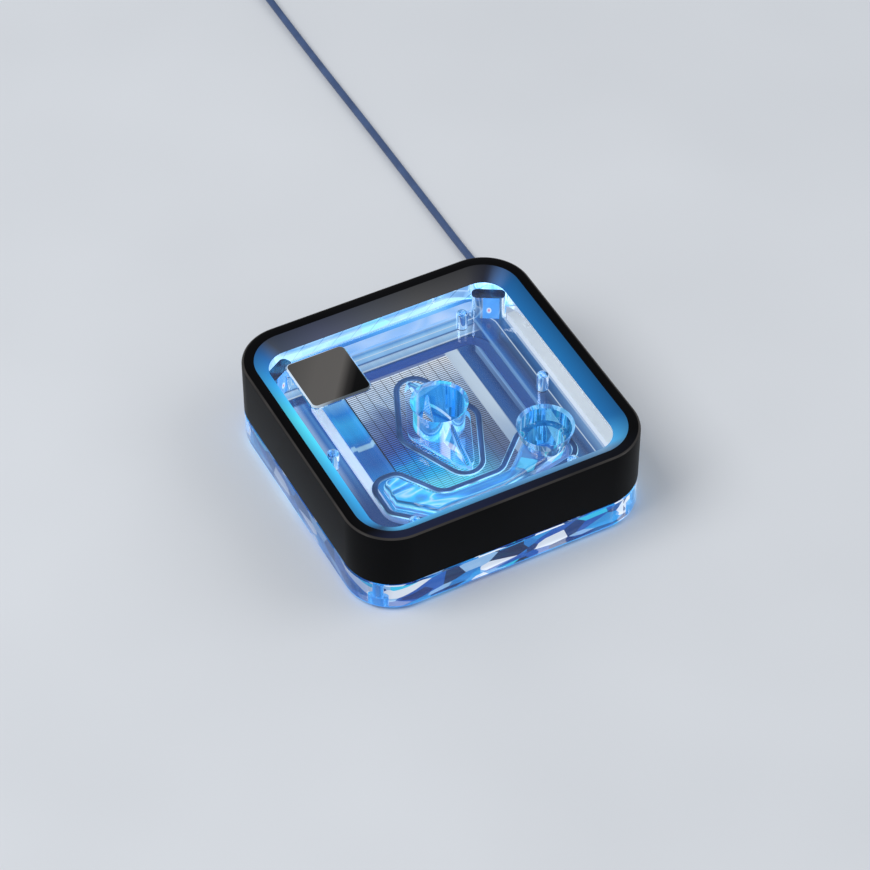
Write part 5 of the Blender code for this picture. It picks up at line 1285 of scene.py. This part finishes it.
# Aluminium, bead-blasted and anodised black: satin, with a fine even grain (0.15 mm, drawn a little coarser
# than real), and a faint blue glow of the lights painted on the front of its top flat
anodised_black, tree, shader, place = start_material(
    "anodised_black_aluminium", {"Roughness": 0.34, "Specular IOR Level": 0.05})
grit = add_node(tree, "TexNoise", {"Vector": place, "Scale": 6000.0, "Detail": 2.0})
clouds = add_node(tree, "TexNoise", {"Vector": place, "Scale": 35.0, "Detail": 2.0})
black_tint = add_node(tree, "ValToRGB", {0: clouds}, stops=((0.35, "040405"), (0.65, "0a0a0c")))
satin = add_node(tree, "MapRange", {0: clouds, 3: 0.30, 4: 0.44})
blast = add_node(tree, "Bump", {"Strength": 0.10, "Distance": 0.0001, "Height": grit})
set_inputs(shader, {"Base Color": black_tint, "Roughness": satin, "Normal": blast})
axes = add_node(tree, "SeparateXYZ", {0: place})
on_front = add_node(tree, "MapRange", {0: axes.outputs[1], 1: -0.0300, 2: -0.0335})
on_flat = add_node(tree, "MapRange", {0: axes.outputs[2], 1: 0.0228, 2: 0.02295})
from_lights = add_node(tree, "MapRange", {0: axes.outputs[0], 1: -0.036, 2: 0.036})
front_flat_glow = add_node(tree, "ValToRGB", {0: from_lights}, stops=(
    (0.0, "0c1020"), (0.12, "1a2038"), (0.40, "181e36"), (0.70, "0a0e18"), (1.0, "040508")))
front_flat_glow_power = add_node(tree, "Math", {0: on_front, 1: on_flat}, operation="MULTIPLY")
set_inputs(shader, {"Emission Color": front_flat_glow, "Emission Strength": front_flat_glow_power})

# The same finish on the chamfer, where it carries the glow of the lights below: cyan on the left,
# strong blue on the right, grey at the back, pale blue in front, darker at the corners
lit_chamfer, tree, shader, place = start_material(
    "black_chamfer_in_blue_light", {"Roughness": 0.28, "Specular IOR Level": 0.16})
axes = add_node(tree, "SeparateXYZ", {0: place})
bearing = add_node(tree, "Math", {0: axes.outputs[1], 1: axes.outputs[0]}, operation="ARCTAN2")
around = add_node(tree, "MapRange", {0: bearing, 1: -math.pi, 2: math.pi})
glow_round = add_node(tree, "ValToRGB", {0: around}, stops=(
    (0.0, "4cd8fc"), (0.06, "3ebcfa"), (0.11, "2f94d8"), (0.125, "1c3c60"), (0.14, "48a0d4"),
    (0.25, "4a8cc0"), (0.36, "5e8cb4"), (0.372, "48a8e4"), (0.40, "1668a8"), (0.50, "186cac"),
    (0.60, "1866a6"), (0.618, "1a5c9c"), (0.63, "1c2030"), (0.65, "3c3d40"), (0.70, "464749"),
    (0.76, "474c56"), (0.82, "464c62"), (0.86, "3c4658"), (0.875, "2a6cb0"), (0.89, "2c86cc"),
    (0.91, "38aef2"), (0.96, "50e0fc"), (1.0, "4cd8fc")))
chamfer_cloud = add_node(tree, "TexNoise", {"Vector": place, "Scale": 35.0, "Detail": 2.0})
chamfer_tint = add_node(tree, "ValToRGB", {0: chamfer_cloud}, stops=((0.35, "040405"), (0.65, "0a0a0c")))
set_inputs(shader, {"Base Color": chamfer_tint})
outwards = add_node(tree, "MapRange", {0: axes.outputs[2], 1: 0.0207, 2: 0.0229, 3: 1.05, 4: 0.62})
set_inputs(shader, {"Emission Color": glow_round, "Emission Strength": outwards})

# On the outer edge the finish is smoother, and painted a shade paler as a highlight
edge_black, tree, shader, place = start_material(
    "anodised_black_edge", {"Roughness": 0.22, "Specular IOR Level": 0.3})
edge_highlight_noise = add_node(tree, "TexNoise", {"Vector": place, "Scale": 90.0, "Detail": 2.0})
edge_highlight_tint = add_node(tree, "ValToRGB", {0: edge_highlight_noise}, stops=((0.35, "2a2827"), (0.65, "3c3937")))
set_inputs(shader, {"Base Color": edge_highlight_tint})
finish_piece(black_frame, [anodised_black, lit_chamfer, edge_black], 25)
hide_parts("top_frame")


# Floor: a plain sheet of pale matt paper, wide enough to fill the picture. It only carries the
# block's shadow.
bpy.ops.object.select_all(action="DESELECT")
bpy.ops.mesh.primitive_plane_add(size=6.0, location=(0.0, 0.0, 0.0))
floor = bpy.context.object
floor.name = "floor"
pale_floor, tree, shader, place = start_material("pale_matt_paper", {"Roughness": 0.8})
fibres = add_node(tree, "TexNoise", {"Vector": place, "Scale": 12.0, "Detail": 2.0})
paper = add_node(tree, "ValToRGB", {0: fibres}, stops=((0.3, "d9dce0"), (0.7, "dfe2e6")))
set_inputs(shader, {"Base Color": paper})
floor.data.materials.append(pale_floor)


# Light: an even pale room and two large soft lamps, one high on the left and a weaker one on
# the right, so that the block's shadow has no hard edge.
world = bpy.data.worlds.new("world")
bpy.context.scene.world = world
world.use_nodes = True
world.node_tree.nodes["Background"].inputs["Color"].default_value = srgb("e8ecf2")
world.node_tree.nodes["Background"].inputs["Strength"].default_value = 0.5
for name, spot, size, power in (("key", (-0.8, 0.1, 1.2), 0.9, 11.0), ("fill", (1.0, -0.5, 1.0), 0.9, 4.0)):
    light = bpy.data.lights.new(name, "AREA")
    light.size = size
    light.energy = power
    lamp = add_object(name, light)
    lamp.location = spot
    lamp.rotation_euler = Vector(spot).to_track_quat("Z", "Y").to_euler()
bpy.context.scene.view_settings.view_transform = "Standard"
